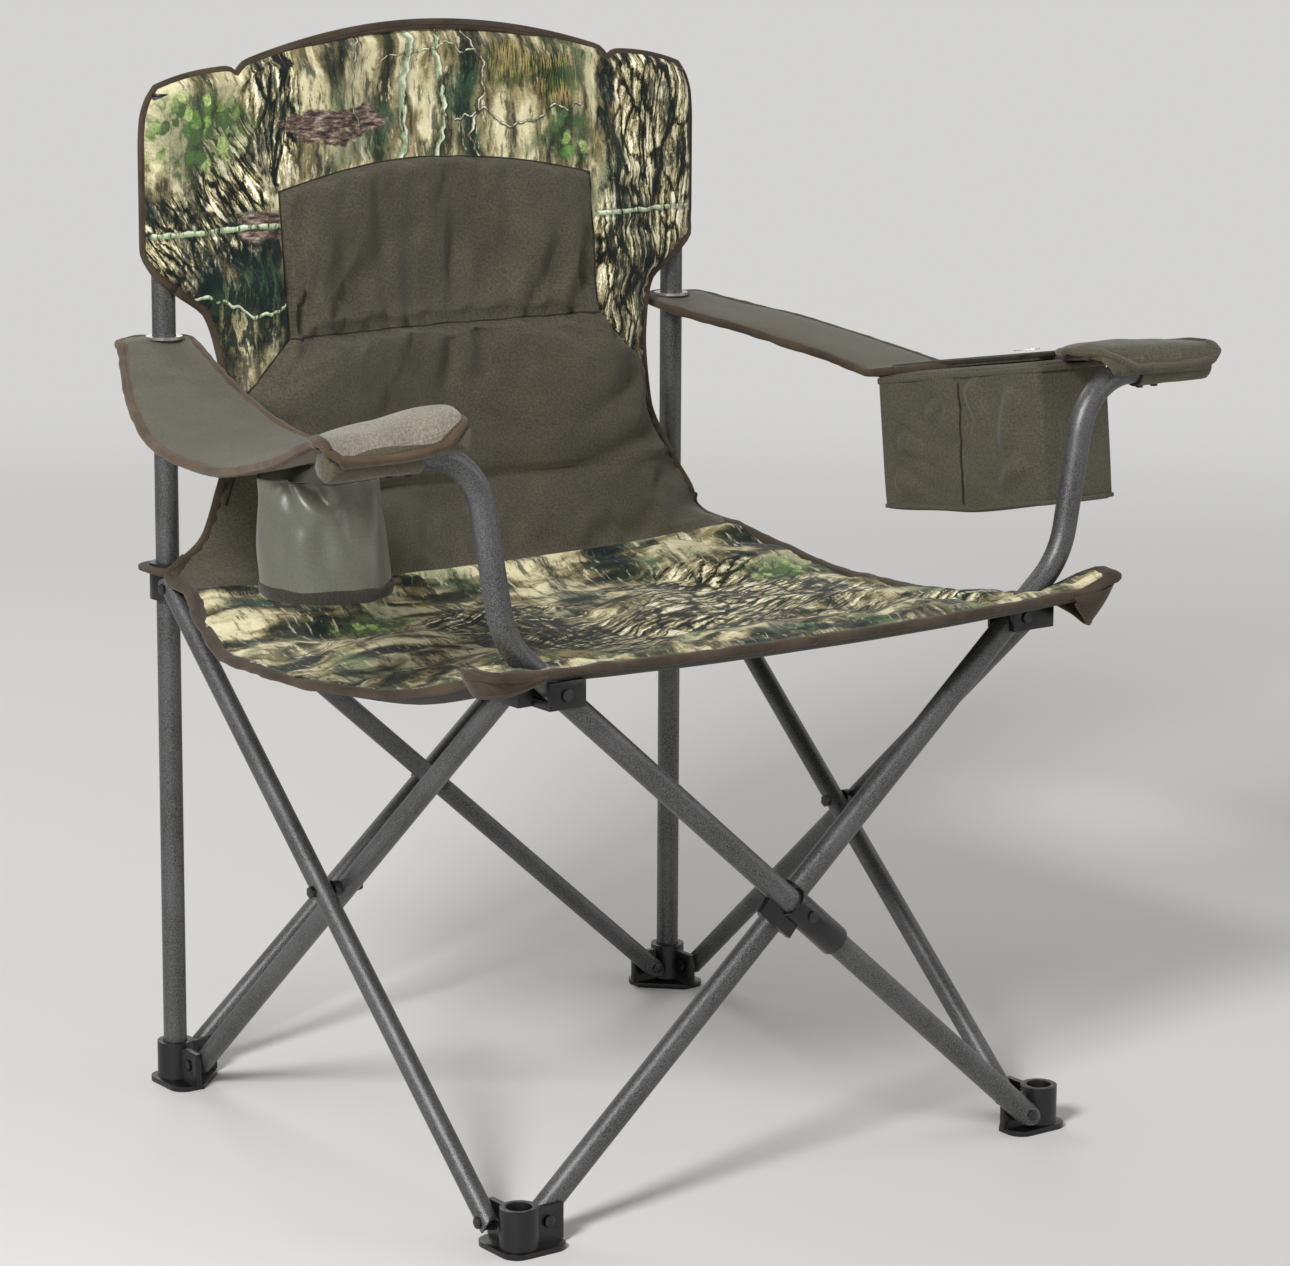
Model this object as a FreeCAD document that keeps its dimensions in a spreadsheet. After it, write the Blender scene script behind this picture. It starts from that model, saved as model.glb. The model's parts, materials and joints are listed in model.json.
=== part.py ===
"""Folding camp armchair: a four-sided scissor frame of tubes with a one-piece padded sling.

Axes: +X to the right in a front view, +Y to the back, +Z up.  The origin lies on the floor
under the middle of the chair's outer box.
"""
import FreeCAD, Part, Sketcher
import math
import os

from FreeCAD import Placement, Rotation, Vector

AXIS_X, AXIS_Y, AXIS_Z = Vector(1, 0, 0), Vector(0, 1, 0), Vector(0, 0, 1)

# ---------------------------------------------------------------- driving sizes (millimetres)
SIZES = {
    # frame layout
    "socket_spacing": 582, "pivot_inset": 29, "foot_pivot_height": 22, "hub_pivot_height": 485,
    "depth_shift": -3,
    # tubes
    "post_diameter": 22, "post_wall": 1.5, "post_bottom": 8, "post_top": 938,
    "brace_diameter": 19, "brace_wall": 1.2,
    "arm_tube_diameter": 22, "arm_tube_wall": 1.5,
    "arm_level": 696, "arm_rise_foot": 24.5, "arm_rise_head": 54, "arm_end": 197,
    "arm_low_bend": 80, "arm_high_bend": 60,
    # pivots and fasteners
    "lug_thickness": 6, "side_gap": 0.5, "rivet_diameter": 6, "pivot_clearance": 0.15,
    "rivet_head": 10.5, "rivet_head_height": 2, "bolt_flats": 10, "bolt_head_height": 4,
    "spacer_diameter": 16, "spacer_gap": 0.1,
    # moulded feet
    "foot_outer_reach": 21, "foot_inner_reach": 41, "foot_pad_thickness": 5, "foot_corner": 15,
    "socket_diameter": 34, "socket_height": 40, "socket_clearance": 0.3, "lug_reach": 44,
    "foot_lug_height": 36,
    # moulded hubs and collars
    "hub_half_height": 12, "hub_block": 15, "collar_drop": 15, "collar_rise": 13,
    "collar_diameter": 34, "collar_clearance": 0.4, "cover_thickness": 3, "cover_margin": 4,
    "hub_tube_play": 1.5, "web_start": 14,
    "web_thickness": 4, "web_lift": 4,
    # clamp at the front crossing
    "clamp_wall": 3.2, "clamp_tube_gap": 0.05, "clamp_long": 46, "clamp_short": 19,
    "fin_length": 24, "fin_height": 15, "fin_thickness": 6,
    # post plugs, tabs and eyelets
    "cap_height": 3, "cap_plug_depth": 15, "cap_play": 0.1,
    "tab_radius": 28, "tab_thickness": 3, "tab_lift": 0.5, "eyelet_radius": 17,
    "eyelet_height": 2.5, "grommet_gap": 0.2, "armrest_eyelet_lift": 1.5,
    "fabric_clearance": 1,
    # how far a cutting or joining shape runs past the face it meets
    "overlap": 1,
    # back sling
    "back_bottom": 508, "back_low_y": 45, "back_lean": 0.152, "back_bow": 12, "back_thickness": 6,
    "back_corner_height": 950, "back_crown": 996, "back_flare_height": 10,
    # how far inside the posts' middle lines the back's edges lie
    "post_to_notch": 79, "post_to_edge": 25, "post_to_waist": 49, "post_to_flare": 10,
    "post_to_pad": 114,
    "back_waist_from": 0.38, "back_waist_to": 0.65, "back_full_width_from": 0.92,
    "back_arch_rise": 14, "back_shoulder_rise": 7,
    "pad_thickness": 16, "pad_corner_height": 846, "pad_crown": 870,
    "pad_flare": 45, "pad_flare_height": 70,
    "pocket_bottom": 776, "pocket_depth": 30, "pocket_reach": 20, "pocket_top_skin": 4,
    "pocket_corner": 10,
    # seat sling
    "seat_rear_height": 504, "seat_front_height": 516, "seat_dip": 44, "seat_cross_sag": 12,
    "seat_thickness": 5, "seat_side_bulge": 48, "seat_side_reach": 14, "seat_rear_inset": 53,
    "seat_front_reach": 36, "seat_flat_share": 0.06, "seat_corner_reach": 54,
    "tube_hole_play": 4,
    # corner pockets
    "corner_pocket_stand_off": 30, "corner_pocket_skin": 3, "corner_pocket_drop": 36,
    "corner_pocket_length": 68, "corner_pocket_inset": 2, "corner_pocket_end_share": 0.6,
    "corner_pocket_low_share": 0.4,
    # armrests
    "armrest_height": 713, "armrest_dip": 50, "armrest_tilt": 12, "armrest_thickness": 4,
    "armrest_level_margin": 4,
    "armrest_rear_inner": 262, "armrest_rear_outer": 336, "armrest_mid_inner": 318,
    "armrest_mid_outer": 432, "armrest_front_inner": 366, "armrest_rear_reach": 27,
    "sleeve_play": 0.5, "sleeve_skin": 2.4, "sleeve_length": 98, "slot_play": 2,
    "screw_diameter": 4, "screw_head": 7, "screw_head_height": 1.6, "screw_pitch": 18,
    # cup holder and cooler
    "cup_radius": 54, "cup_skin": 2.5, "cup_height": 92, "cup_from_sleeve": 147,
    "cup_from_post": 108, "cup_hole_radius": 44,
    "cooler_length": 240, "cooler_width": 92, "cooler_height": 130, "cooler_skin": 5,
    "cooler_from_sleeve": 68, "cooler_low_margin": 5, "cooler_inner_face": 342, "cooler_pitch": 7,
    "lid_margin": 9, "lid_thickness": 4,
}

doc = FreeCAD.newDocument("camp_armchair")
sheet = doc.addObject("Spreadsheet::Sheet", "sizes")
for row, (alias, number) in enumerate(SIZES.items(), start=1):
    sheet.set(f"A{row}", alias)
    sheet.set(f"B{row}", str(number))
    sheet.setAlias(f"B{row}", alias)
doc.recompute()

# ---------------------------------------------------------------- layout worked out from them
LAYOUT = {
    "half": "sizes.socket_spacing / 2",
    "front_y": "-sizes.socket_spacing / 2 + sizes.depth_shift",
    "rear_y": "sizes.socket_spacing / 2 + sizes.depth_shift",
    "pivot_x": "sizes.socket_spacing / 2 - sizes.pivot_inset",
    "span": "sizes.socket_spacing - 2 * sizes.pivot_inset",
    "rise": "sizes.hub_pivot_height - sizes.foot_pivot_height",
    "pivot_length": "sqrt(layout.span ^ 2 + layout.rise ^ 2)",
    "tilt": "atan2(layout.rise; layout.span) / 1 deg",
    "cross_height": "(sizes.hub_pivot_height + sizes.foot_pivot_height) / 2",
    "brace_offset": "sizes.lug_thickness / 2 + sizes.side_gap + sizes.brace_diameter / 2",
    "arm_offset": "sizes.lug_thickness / 2 + sizes.side_gap + sizes.arm_tube_diameter / 2",
    "shaft": "sizes.rivet_diameter / 2",
    "pivot_bore": "sizes.rivet_diameter / 2 + sizes.pivot_clearance",
    "post_radius": "sizes.post_diameter / 2",
    "brace_radius": "sizes.brace_diameter / 2",
    "arm_radius": "sizes.arm_tube_diameter / 2",
    "cover_face": "sizes.arm_tube_diameter + sizes.lug_thickness / 2 + 2 * sizes.side_gap",
    "collar_top": "sizes.hub_pivot_height + sizes.collar_rise",
    "clamp_bore": "sizes.arm_tube_diameter / 2 + sizes.clamp_tube_gap",
    "clamp_radius": "sizes.arm_tube_diameter / 2 + sizes.clamp_wall",
    "sleeve_bore": "sizes.arm_tube_diameter / 2 + sizes.sleeve_play",
    "sleeve_radius": "sizes.arm_tube_diameter / 2 + sizes.sleeve_play + sizes.sleeve_skin",
    "back_notch": "layout.half - sizes.post_to_notch",
    "back_half_width": "layout.half - sizes.post_to_edge",
    "back_waist": "layout.half - sizes.post_to_waist",
    "back_flare": "layout.half - sizes.post_to_flare",
    "pad_half_width": "layout.half - sizes.post_to_pad",
}
layout = doc.addObject("App::VarSet", "layout")
for name, formula in LAYOUT.items():
    layout.addProperty("App::PropertyFloat", name)
    layout.setExpression(name, formula)
    doc.recompute()


def size(name):
    """A driving size or a layout value as a plain number."""
    return float(getattr(sheet, name)) if name in SIZES else float(getattr(layout, name))


def value(formula):
    """What a formula of sizes and layout values comes to."""
    result = layout.evalExpression(str(formula))
    return float(getattr(result, "Value", result))


# ---------------------------------------------------------------- small builders
def place(item, at=(0, 0, 0), turn=None):
    """Put an object at a point given by formulas, turned about one axis."""
    axis, angle = turn or (AXIS_Z, 0)
    item.Placement = Placement(Vector(), Rotation(axis, value(angle)))
    if isinstance(angle, str):
        item.setExpression("Placement.Rotation.Angle", angle)
    for letter, formula in zip("xyz", at):
        if formula != 0:
            item.setExpression(f"Placement.Base.{letter}", str(formula))
    return item


def solid(kind, name, at=(0, 0, 0), turn=None, **bound):
    """A Part primitive whose sizes are bound to formulas."""
    item = doc.addObject(kind, name)
    for prop, formula in bound.items():
        item.setExpression(prop, str(formula))
    return place(item, at, turn)


def rod(name, radius, length, at=(0, 0, 0), along="z"):
    """A cylinder that starts at a point and runs along +x, +y or +z."""
    turn = {"z": None, "x": (AXIS_Y, 90), "y": (AXIS_X, -90)}[along]
    return solid("Part::Cylinder", name, at, turn, Radius=radius, Height=length)


def block(name, lengths, at=(0, 0, 0)):
    """A box from its lowest corner."""
    return solid("Part::Box", name, at, None, Length=lengths[0], Width=lengths[1],
                 Height=lengths[2])


def joined(name, *items):
    result = doc.addObject("Part::MultiFuse", name)
    result.Shapes = list(items)
    result.Refine = True
    return result


def cut(name, base, *tools):
    result = doc.addObject("Part::Cut", name)
    result.Base = base
    result.Tool = tools[0] if len(tools) == 1 else joined(name + "_tools", *tools)
    return result


def shared(name, one, other):
    result = doc.addObject("Part::Common", name)
    result.Base = one
    result.Tool = other
    return result


def grouped(name, *items):
    """Separate solids that share a node."""
    result = doc.addObject("Part::Compound", name)
    result.Links = list(items)
    return result


pieces = []


def piece(item, label, at=(0, 0, 0), turn=None):
    """Name a finished sub-part, put it in the chair and list it for export."""
    item.Label = label
    place(item, at, turn)
    pieces.append(item)
    return item


def freeform(label, shape, placement=None):
    """A sewn sub-part, whose curved shape is worked out in code from the sheet's sizes."""
    item = doc.addObject("Part::Feature", label)
    item.Shape = shape
    item.Placement = placement or Placement()
    item.Label = label
    pieces.append(item)
    return item


def origin_plane(body, role):
    return next(f for f in body.Origin.OriginFeatures if f.Role == role)


def sketch(body, name, role, lift=None):
    """A sketch on one of its body's own planes, lifted along the plane's normal."""
    drawing = body.newObject("Sketcher::SketchObject", name)
    drawing.AttachmentSupport = [(origin_plane(body, role), "")]
    drawing.MapMode = "FlatFace"
    if lift:
        drawing.setExpression("AttachmentOffset.Base.z", str(lift))
    return drawing


def hold(drawing, index, point, u, v):
    """Tie one point of a sketch to two formulas."""
    for kind, axis, formula in (("DistanceX", -2, u), ("DistanceY", -1, v)):
        if abs(value(formula)) < 1e-9:
            drawing.addConstraint(Sketcher.Constraint("PointOnObject", index, point, axis))
            continue
        number = drawing.addConstraint(
            Sketcher.Constraint(kind, -1, 1, index, point, value(formula)))
        drawing.setExpression(f"Constraints[{number}]", str(formula))


def ring(drawing, u, v, radius):
    """A circle in a sketch, its middle and radius tied to formulas."""
    middle = Vector(value(u), value(v), 0)
    index = drawing.addGeometry(Part.Circle(middle, AXIS_Z, value(radius)), False)
    hold(drawing, index, 3, u, v)
    number = drawing.addConstraint(Sketcher.Constraint("Radius", index, value(radius)))
    drawing.setExpression(f"Constraints[{number}]", str(radius))


def outline(drawing, corners):
    """A closed outline of straight edges, every corner tied to formulas."""
    spots = [Vector(value(u), value(v), 0) for u, v in corners]
    count = len(spots)
    for here in range(count):
        drawing.addGeometry(Part.LineSegment(spots[here], spots[(here + 1) % count]), False)
    for here in range(count):
        drawing.addConstraint(
            Sketcher.Constraint("Coincident", here, 2, (here + 1) % count, 1))
    for here, (u, v) in enumerate(corners):
        hold(drawing, here, 1, u, v)


def rectangle(drawing, u0, v0, u1, v1):
    outline(drawing, [(u0, v0), (u1, v0), (u1, v1), (u0, v1)])


def pad(body, drawing, length, name, both_ways=False, reverse=False):
    feature = body.newObject("PartDesign::Pad", name)
    feature.Profile = drawing
    feature.setExpression("Length", str(length))
    if both_ways:
        feature.Midplane = True
    feature.Reversed = reverse
    return feature


def pocket(body, drawing, depth, name, both_ways=False, reverse=False):
    """A cut that has to take material away."""
    doc.recompute()
    before = body.Shape.Volume
    feature = body.newObject("PartDesign::Pocket", name)
    feature.Profile = drawing
    feature.setExpression("Length", str(depth))
    if both_ways:
        feature.Midplane = True
    feature.Reversed = reverse
    doc.recompute()
    if not body.Shape.Volume < before:
        raise ValueError(f"{name} cuts nothing")
    return feature


def round_uprights(body, name, radius, keep):
    """Fillet the upright edges whose middle passes the test."""
    doc.recompute()
    base = body.Tip
    chosen = []
    for number, edge in enumerate(base.Shape.Edges, start=1):
        ends = [v.Point for v in edge.Vertexes]
        if len(ends) == 2 and (ends[0] - ends[1]).cross(AXIS_Z).Length < 1e-6:
            if keep((ends[0] + ends[1]) * 0.5):
                chosen.append(f"Edge{number}")
    if chosen:
        fillet = body.newObject("PartDesign::Fillet", name)
        fillet.Base = (base, chosen)
        fillet.setExpression("Radius", str(radius))
    return body


# ---------------------------------------------------------------- tubes
def rounded_end_form(name, along, radius, length, both_ends=True):
    """What a tube keeps when its ends are cut round about their rivets."""
    wide = f"2 * {radius}"
    if along == "x":
        bar = block(name + "_bar", (length, wide, wide), (0, f"-{radius}", f"-{radius}"))
        spots = [(0, f"-{radius}", 0), (length, f"-{radius}", 0)]
        across = "y"
    else:
        bar = block(name + "_bar", (wide, length, wide), (f"-{radius}", 0, f"-{radius}"))
        spots = [(f"-{radius}", 0, 0), (f"-{radius}", length, 0)]
        across = "x"
    spots = spots if both_ends else spots[:1]
    ends = [rod(f"{name}_end_{n}", radius, wide, at, across) for n, at in enumerate(spots)]
    return joined(name + "_form", bar, *ends)


def brace(label, along, at, angle):
    """A straight tube with a rivet hole at each end and a bolt hole in the middle.

    It is drawn from its lower pivot along +x or +y and then tilted.
    """
    radius, wall = "layout.brace_radius", "sizes.brace_wall"
    total = f"layout.pivot_length + 2 * {radius}"
    start = {"x": (f"-{radius}", 0, 0), "y": (0, f"-{radius}", 0)}[along]
    outer = rod(label + "_outer", radius, total, start, along)
    inner = rod(label + "_inner", f"{radius} - {wall}", total, start, along)
    tube = cut(label + "_tube", outer, inner)
    kept = shared(label + "_kept", tube,
                  rounded_end_form(label, along, radius, "layout.pivot_length"))
    across = "y" if along == "x" else "x"
    holes = []
    for number, share in enumerate((0, 0.5, 1)):
        far = f"{share} * layout.pivot_length" if share else 0
        spot = (far, f"-{radius}", 0) if along == "x" else (f"-{radius}", far, 0)
        holes.append(rod(f"{label}_hole_{number}", "layout.pivot_bore", f"2 * {radius}",
                         spot, across))
    axis = AXIS_Y if along == "x" else AXIS_X
    return piece(cut(label + "_body", kept, *holes), label, at, (axis, angle))


def arm_path(sign):
    """The corners of an arm tube's centre line, from its lower rivet, in its own plane."""
    tilt = math.radians(size("tilt"))
    foot_x, head_x = size("arm_rise_foot"), size("arm_rise_head")
    half, level = size("half"), size("arm_level") - size("foot_pivot_height")
    start_x = -size("pivot_x")
    low_x = half + foot_x
    low = Vector(low_x - start_x, 0, (low_x - start_x) * math.tan(tilt))
    high = Vector(half + head_x - start_x, 0, level)
    end = Vector(half + size("arm_end") - start_x, 0, level)
    corners = [Vector(), low, high, end]
    return [Vector(sign * c.x, c.y, c.z) for c in corners]


def rounded_wire(corners, radii):
    """Straight runs joined by tangent arcs."""
    edges, here = [], corners[0]
    for before, corner, after, radius in zip(corners, corners[1:], corners[2:], radii):
        arrive = (corner - before).normalize()
        leave = (after - corner).normalize()
        turn = arrive.getAngle(leave)
        reach = radius * math.tan(turn / 2)
        begin, finish = corner - arrive * reach, corner + leave * reach
        inward = (leave - arrive).normalize()
        bulge = corner + inward * (radius / math.cos(turn / 2) - radius)
        edges.append(Part.LineSegment(here, begin).toShape())
        edges.append(Part.Arc(begin, bulge, finish).toShape())
        here = finish
    edges.append(Part.LineSegment(here, corners[-1]).toShape())
    return Part.Wire(edges)


def arm_tube(label, sign, at):
    """A front tube: lower rivet, crossing, hub pivot, then up and outward to carry an armrest."""
    corners = arm_path(sign)
    radii = [size("arm_low_bend"), size("arm_high_bend")]
    path = doc.addObject("Part::Feature", label + "_path")
    path.Shape = rounded_wire(corners, radii)
    doc.recompute()
    spine = (path, [f"Edge{n}" for n in range(1, len(path.Shape.Edges) + 1)])
    swept = []
    for part_name, radius in (("outer", "layout.arm_radius"),
                              ("inner", "layout.arm_radius - sizes.arm_tube_wall")):
        section = doc.addObject("Part::Circle", f"{label}_{part_name}_section")
        section.setExpression("Radius", radius)
        facing = Rotation(AXIS_Z, corners[1])
        section.Placement = Placement(Vector(), facing)
        sweep = doc.addObject("Part::Sweep", f"{label}_{part_name}")
        sweep.Sections = [section]
        sweep.Spine = spine
        sweep.Solid = True
        sweep.Frenet = False
        swept.append(sweep)
    hollow = cut(label + "_hollow", *swept)
    radius = "layout.arm_radius"
    angle = "-layout.tilt" if sign > 0 else "layout.tilt - 180"
    stub = shared(
        label + "_stub",
        cut(label + "_stub_tube",
            rod(label + "_stub_outer", radius, radius, (f"-{radius}", 0, 0), "x"),
            rod(label + "_stub_inner", f"{radius} - sizes.arm_tube_wall", radius,
                (f"-{radius}", 0, 0), "x")),
        rod(label + "_stub_round", radius, f"2 * {radius}", (0, f"-{radius}", 0), "y"))
    place(stub, (0, 0, 0), (AXIS_Y, angle))
    whole = joined(label + "_whole", hollow, stub)
    holes = []
    for number, share in enumerate((0, 0.5, 1)):
        spot = (f"{sign * share} * layout.span", f"-{radius}", f"{share} * layout.rise")
        holes.append(rod(f"{label}_hole_{number}", "layout.pivot_bore", f"2 * {radius}",
                         spot if share else (0, f"-{radius}", 0), "y"))
    return piece(cut(label + "_body", whole, *holes), label, at)


def post(label, at):
    """A straight rear post, open inside, standing in its foot."""
    length = "sizes.post_top - sizes.post_bottom"
    outer = rod(label + "_outer", "layout.post_radius", length)
    inner = rod(label + "_inner", "layout.post_radius - sizes.post_wall", length)
    return piece(cut(label + "_tube", outer, inner), label, at)


def post_cap(label, at):
    """A plug with a flat head on top of a post."""
    head = rod(label + "_head", "layout.post_radius", "sizes.cap_height")
    plug = rod(label + "_plug", "layout.post_radius - sizes.post_wall - sizes.cap_play",
               "sizes.cap_plug_depth", (0, 0, "-sizes.cap_plug_depth"))
    return piece(joined(label + "_body", head, plug), label, at)


# ---------------------------------------------------------------- moulded parts
def foot(label, at, turn):
    """A floor pad with a round socket at its outer corner and two lugs for tube rivets."""
    body = doc.addObject("PartDesign::Body", label + "_body")
    plan = sketch(body, label + "_plan", "XY_Plane")
    out, reach = "-sizes.foot_outer_reach", "sizes.foot_inner_reach"
    outline(plan, [(out, out), (reach, out), (reach, "0 + sizes.foot_corner / 2"),
                   ("sizes.foot_corner / 2", reach), (out, reach)])
    pad(body, plan, "sizes.foot_pad_thickness", label + "_pad")
    round_uprights(body, label + "_pad_corners", "sizes.foot_corner",
                   lambda p: p.x + p.y < 0 or min(p.x, p.y) < -1)
    lift = "sizes.foot_pad_thickness - sizes.overlap"
    for name, box in (
        ("lug_x", ("0", "-sizes.lug_thickness / 2", "sizes.lug_reach", "sizes.lug_thickness / 2")),
        ("lug_y", ("-sizes.lug_thickness / 2", "0", "sizes.lug_thickness / 2", "sizes.lug_reach")),
    ):
        drawing = sketch(body, f"{label}_{name}", "XY_Plane", lift)
        rectangle(drawing, *box)
        pad(body, drawing, "sizes.foot_lug_height - sizes.foot_pad_thickness + sizes.overlap",
            f"{label}_{name}_pad")
    tower = sketch(body, label + "_tower", "XY_Plane", lift)
    ring(tower, 0, 0, "sizes.socket_diameter / 2")
    pad(body, tower, "sizes.socket_height - sizes.foot_pad_thickness + sizes.overlap",
        label + "_tower_pad")
    bore = sketch(body, label + "_bore", "XY_Plane", "sizes.socket_height")
    ring(bore, 0, 0, "layout.post_radius + sizes.socket_clearance")
    pocket(body, bore, "sizes.socket_height - sizes.post_bottom", label + "_bore_cut")
    for name, role in (("rivet_x", "XZ_Plane"), ("rivet_y", "YZ_Plane")):
        drawing = sketch(body, f"{label}_{name}", role)
        ring(drawing, "sizes.pivot_inset", "sizes.foot_pivot_height", "layout.pivot_bore")
        pocket(body, drawing, "2 * sizes.lug_thickness", f"{label}_{name}_cut", both_ways=True)
    doc.recompute()
    return piece(body, label, at, (AXIS_Z, turn))


def lugs(body, label, low, high):
    """Two plates at right angles, with a rivet hole in each, about a corner axis."""
    for name, box in (
        ("lug_x", ("0", "-sizes.lug_thickness / 2", "sizes.lug_reach", "sizes.lug_thickness / 2")),
        ("lug_y", ("-sizes.lug_thickness / 2", "0", "sizes.lug_thickness / 2", "sizes.lug_reach")),
    ):
        drawing = sketch(body, f"{label}_{name}", "XY_Plane", f"-{low}")
        rectangle(drawing, *box)
        pad(body, drawing, f"{low} + {high}", f"{label}_{name}_pad")


def lug_holes(body, label):
    for name, role in (("rivet_x", "XZ_Plane"), ("rivet_y", "YZ_Plane")):
        drawing = sketch(body, f"{label}_{name}", role)
        ring(drawing, "sizes.pivot_inset", 0, "layout.pivot_bore")
        pocket(body, drawing, "2 * sizes.lug_thickness", f"{label}_{name}_cut", both_ways=True)


def collar(label, at, turn):
    """A ring that slides on a rear post and carries two tube ends."""
    body = doc.addObject("PartDesign::Body", label + "_body")
    lugs(body, label, "sizes.collar_drop", "sizes.hub_half_height")
    tower = sketch(body, label + "_ring", "XY_Plane", "-sizes.collar_drop")
    ring(tower, 0, 0, "sizes.collar_diameter / 2")
    pad(body, tower, "sizes.collar_drop + sizes.collar_rise", label + "_ring_pad")
    bore = sketch(body, label + "_bore", "XY_Plane", "sizes.collar_rise")
    ring(bore, 0, 0, "layout.post_radius + sizes.collar_clearance")
    pocket(body, bore, "sizes.collar_drop + sizes.collar_rise", label + "_bore_cut")
    lug_holes(body, label)
    doc.recompute()
    return piece(body, label, at, (AXIS_Z, turn))


def hub(label, at, turn, channel_on_x):
    """A front corner bracket: two plates, one of them with a cover that makes a channel."""
    body = doc.addObject("PartDesign::Body", label + "_body")
    half = "sizes.hub_half_height"
    lugs(body, label, half, half)
    core = sketch(body, label + "_core", "XY_Plane", f"-{half}")
    rectangle(core, "-sizes.lug_thickness / 2", "-sizes.lug_thickness / 2",
              "sizes.hub_block", "sizes.hub_block")
    pad(body, core, f"2 * {half}", label + "_core_pad")
    inner, outer = "layout.cover_face", "layout.cover_face + sizes.cover_thickness"
    start, stop = "sizes.pivot_inset - sizes.web_start - sizes.web_thickness", "sizes.lug_reach"
    cover = sketch(body, label + "_cover", "XY_Plane", f"-{half}")
    if channel_on_x:
        rectangle(cover, start, f"-({outer})", "sizes.lug_reach + sizes.cover_margin", f"-{inner}")
    else:
        rectangle(cover, inner, start, outer, "sizes.lug_reach + sizes.cover_margin")
    webs = (("upper_web", "sizes.pivot_inset + sizes.web_start", "sizes.web_lift", half),
            ("lower_web", start, f"-{half}", "-sizes.web_lift"))
    for name, along, low, high in webs:
        drawing = sketch(body, f"{label}_{name}", "XY_Plane", low)
        far = f"{along} + sizes.web_thickness"
        if channel_on_x:
            rectangle(drawing, along, f"-({outer})", far, "0 - sizes.lug_thickness / 4")
        else:
            rectangle(drawing, "sizes.lug_thickness / 4", along, outer, far)
        pad(body, drawing, f"{high} - ({low})", f"{label}_{name}_pad")
    pad(body, cover, f"2 * {half}", label + "_cover_pad")
    lug_holes(body, label)
    role = "XZ_Plane" if channel_on_x else "YZ_Plane"
    drawing = sketch(body, label + "_cover_hole", role, "layout.cover_face - sizes.overlap")
    ring(drawing, "sizes.pivot_inset", 0, "layout.pivot_bore")
    pocket(body, drawing, "sizes.cover_thickness + 2 * sizes.overlap",
           label + "_cover_hole_cut", reverse=True)
    doc.recompute()
    if channel_on_x:
        return piece(body, label, at, (AXIS_Z, turn))
    # the arm tube rises past the corner block on this side, so the block makes room for it
    far = "2 * sizes.lug_reach"
    path = rod(label + "_tube_path", "layout.arm_radius + sizes.hub_tube_play", far)
    place(path, ("layout.arm_offset", "sizes.pivot_inset", 0), (AXIS_X, "90 - layout.tilt"))
    channel = block(label + "_channel",
                    ("layout.cover_face - sizes.lug_thickness / 2 - sizes.side_gap",
                     f"2 * {far}", f"2 * {far}"),
                    ("(sizes.lug_thickness + sizes.side_gap) / 2", f"-({far})", f"-({far})"))
    room = shared(label + "_tube_room", path, channel)
    return piece(cut(label + "_cleared", body, room), label, at, (AXIS_Z, turn))


def clamp(label, at, angle, low, high, with_fin):
    """A moulded sleeve round a front tube at the crossing, drawn along x."""
    outer = rod(label + "_outer", "layout.clamp_radius", f"{low} + {high}", (f"-{low}", 0, 0), "x")
    if with_fin:
        fin = block(label + "_fin", (f"{low} + sizes.fin_length", "sizes.fin_thickness",
                                     "layout.clamp_bore + sizes.fin_height"),
                    (f"-({low} + sizes.fin_length)", "-sizes.fin_thickness / 2",
                     "-(layout.clamp_bore + sizes.fin_height)"))
        outer = joined(label + "_with_fin", outer, fin)
    total = f"{low} + {high} + sizes.fin_length"
    inner = rod(label + "_inner", "layout.clamp_bore", f"{total} + sizes.fin_length",
                (f"-({low} + 2 * sizes.fin_length)", 0, 0), "x")
    hole = rod(label + "_hole", "layout.pivot_bore", "2 * layout.clamp_radius",
               (0, "-layout.clamp_radius", 0), "y")
    return piece(cut(label + "_body", outer, inner, hole), label, at, (AXIS_Y, angle))


# ---------------------------------------------------------------- rivets, bolts and screws
def pin(name, along, start, stop, across, height, hexagonal=False):
    """A shaft with a head at each end, between two faces, drawn along x or y."""
    def spot(distance):
        return (distance, across, height) if along == "x" else (across, distance, height)
    shaft = rod(name + "_shaft", "layout.shaft", f"({stop}) - ({start})", spot(start), along)
    rise = "sizes.bolt_head_height" if hexagonal else "sizes.rivet_head_height"
    if hexagonal:
        heads = []
        for number, distance in enumerate((f"({start}) - {rise}", stop)):
            head = solid("Part::Prism", f"{name}_head_{number}", spot(distance),
                         {"x": (AXIS_Y, 90), "y": (AXIS_X, -90)}[along],
                         Circumradius="sizes.bolt_flats / 2 / cos(30)", Height=rise)
            heads.append(head)
    else:
        heads = [rod(f"{name}_head_{number}", "sizes.rivet_head / 2", rise, spot(distance), along)
                 for number, distance in enumerate((f"({start}) - {rise}", stop))]
    return joined(name, shaft, *heads)


def lug_rivets(label, at, turn, height, x_lug_to, y_lug_to):
    """The two rivets of a foot, hub or collar, each from its lug to its tube's far side."""
    plate = "sizes.lug_thickness / 2"
    spans = []
    for axis, (side, far) in (("y", x_lug_to), ("x", y_lug_to)):
        start, stop = (f"-{plate}", far) if side > 0 else (f"-({far})", plate)
        spans.append(pin(f"{label}_on_{axis}", axis, start, stop, "sizes.pivot_inset", height))
    return piece(grouped(label + "_pair", *spans), label, at, (AXIS_Z, turn))


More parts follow.
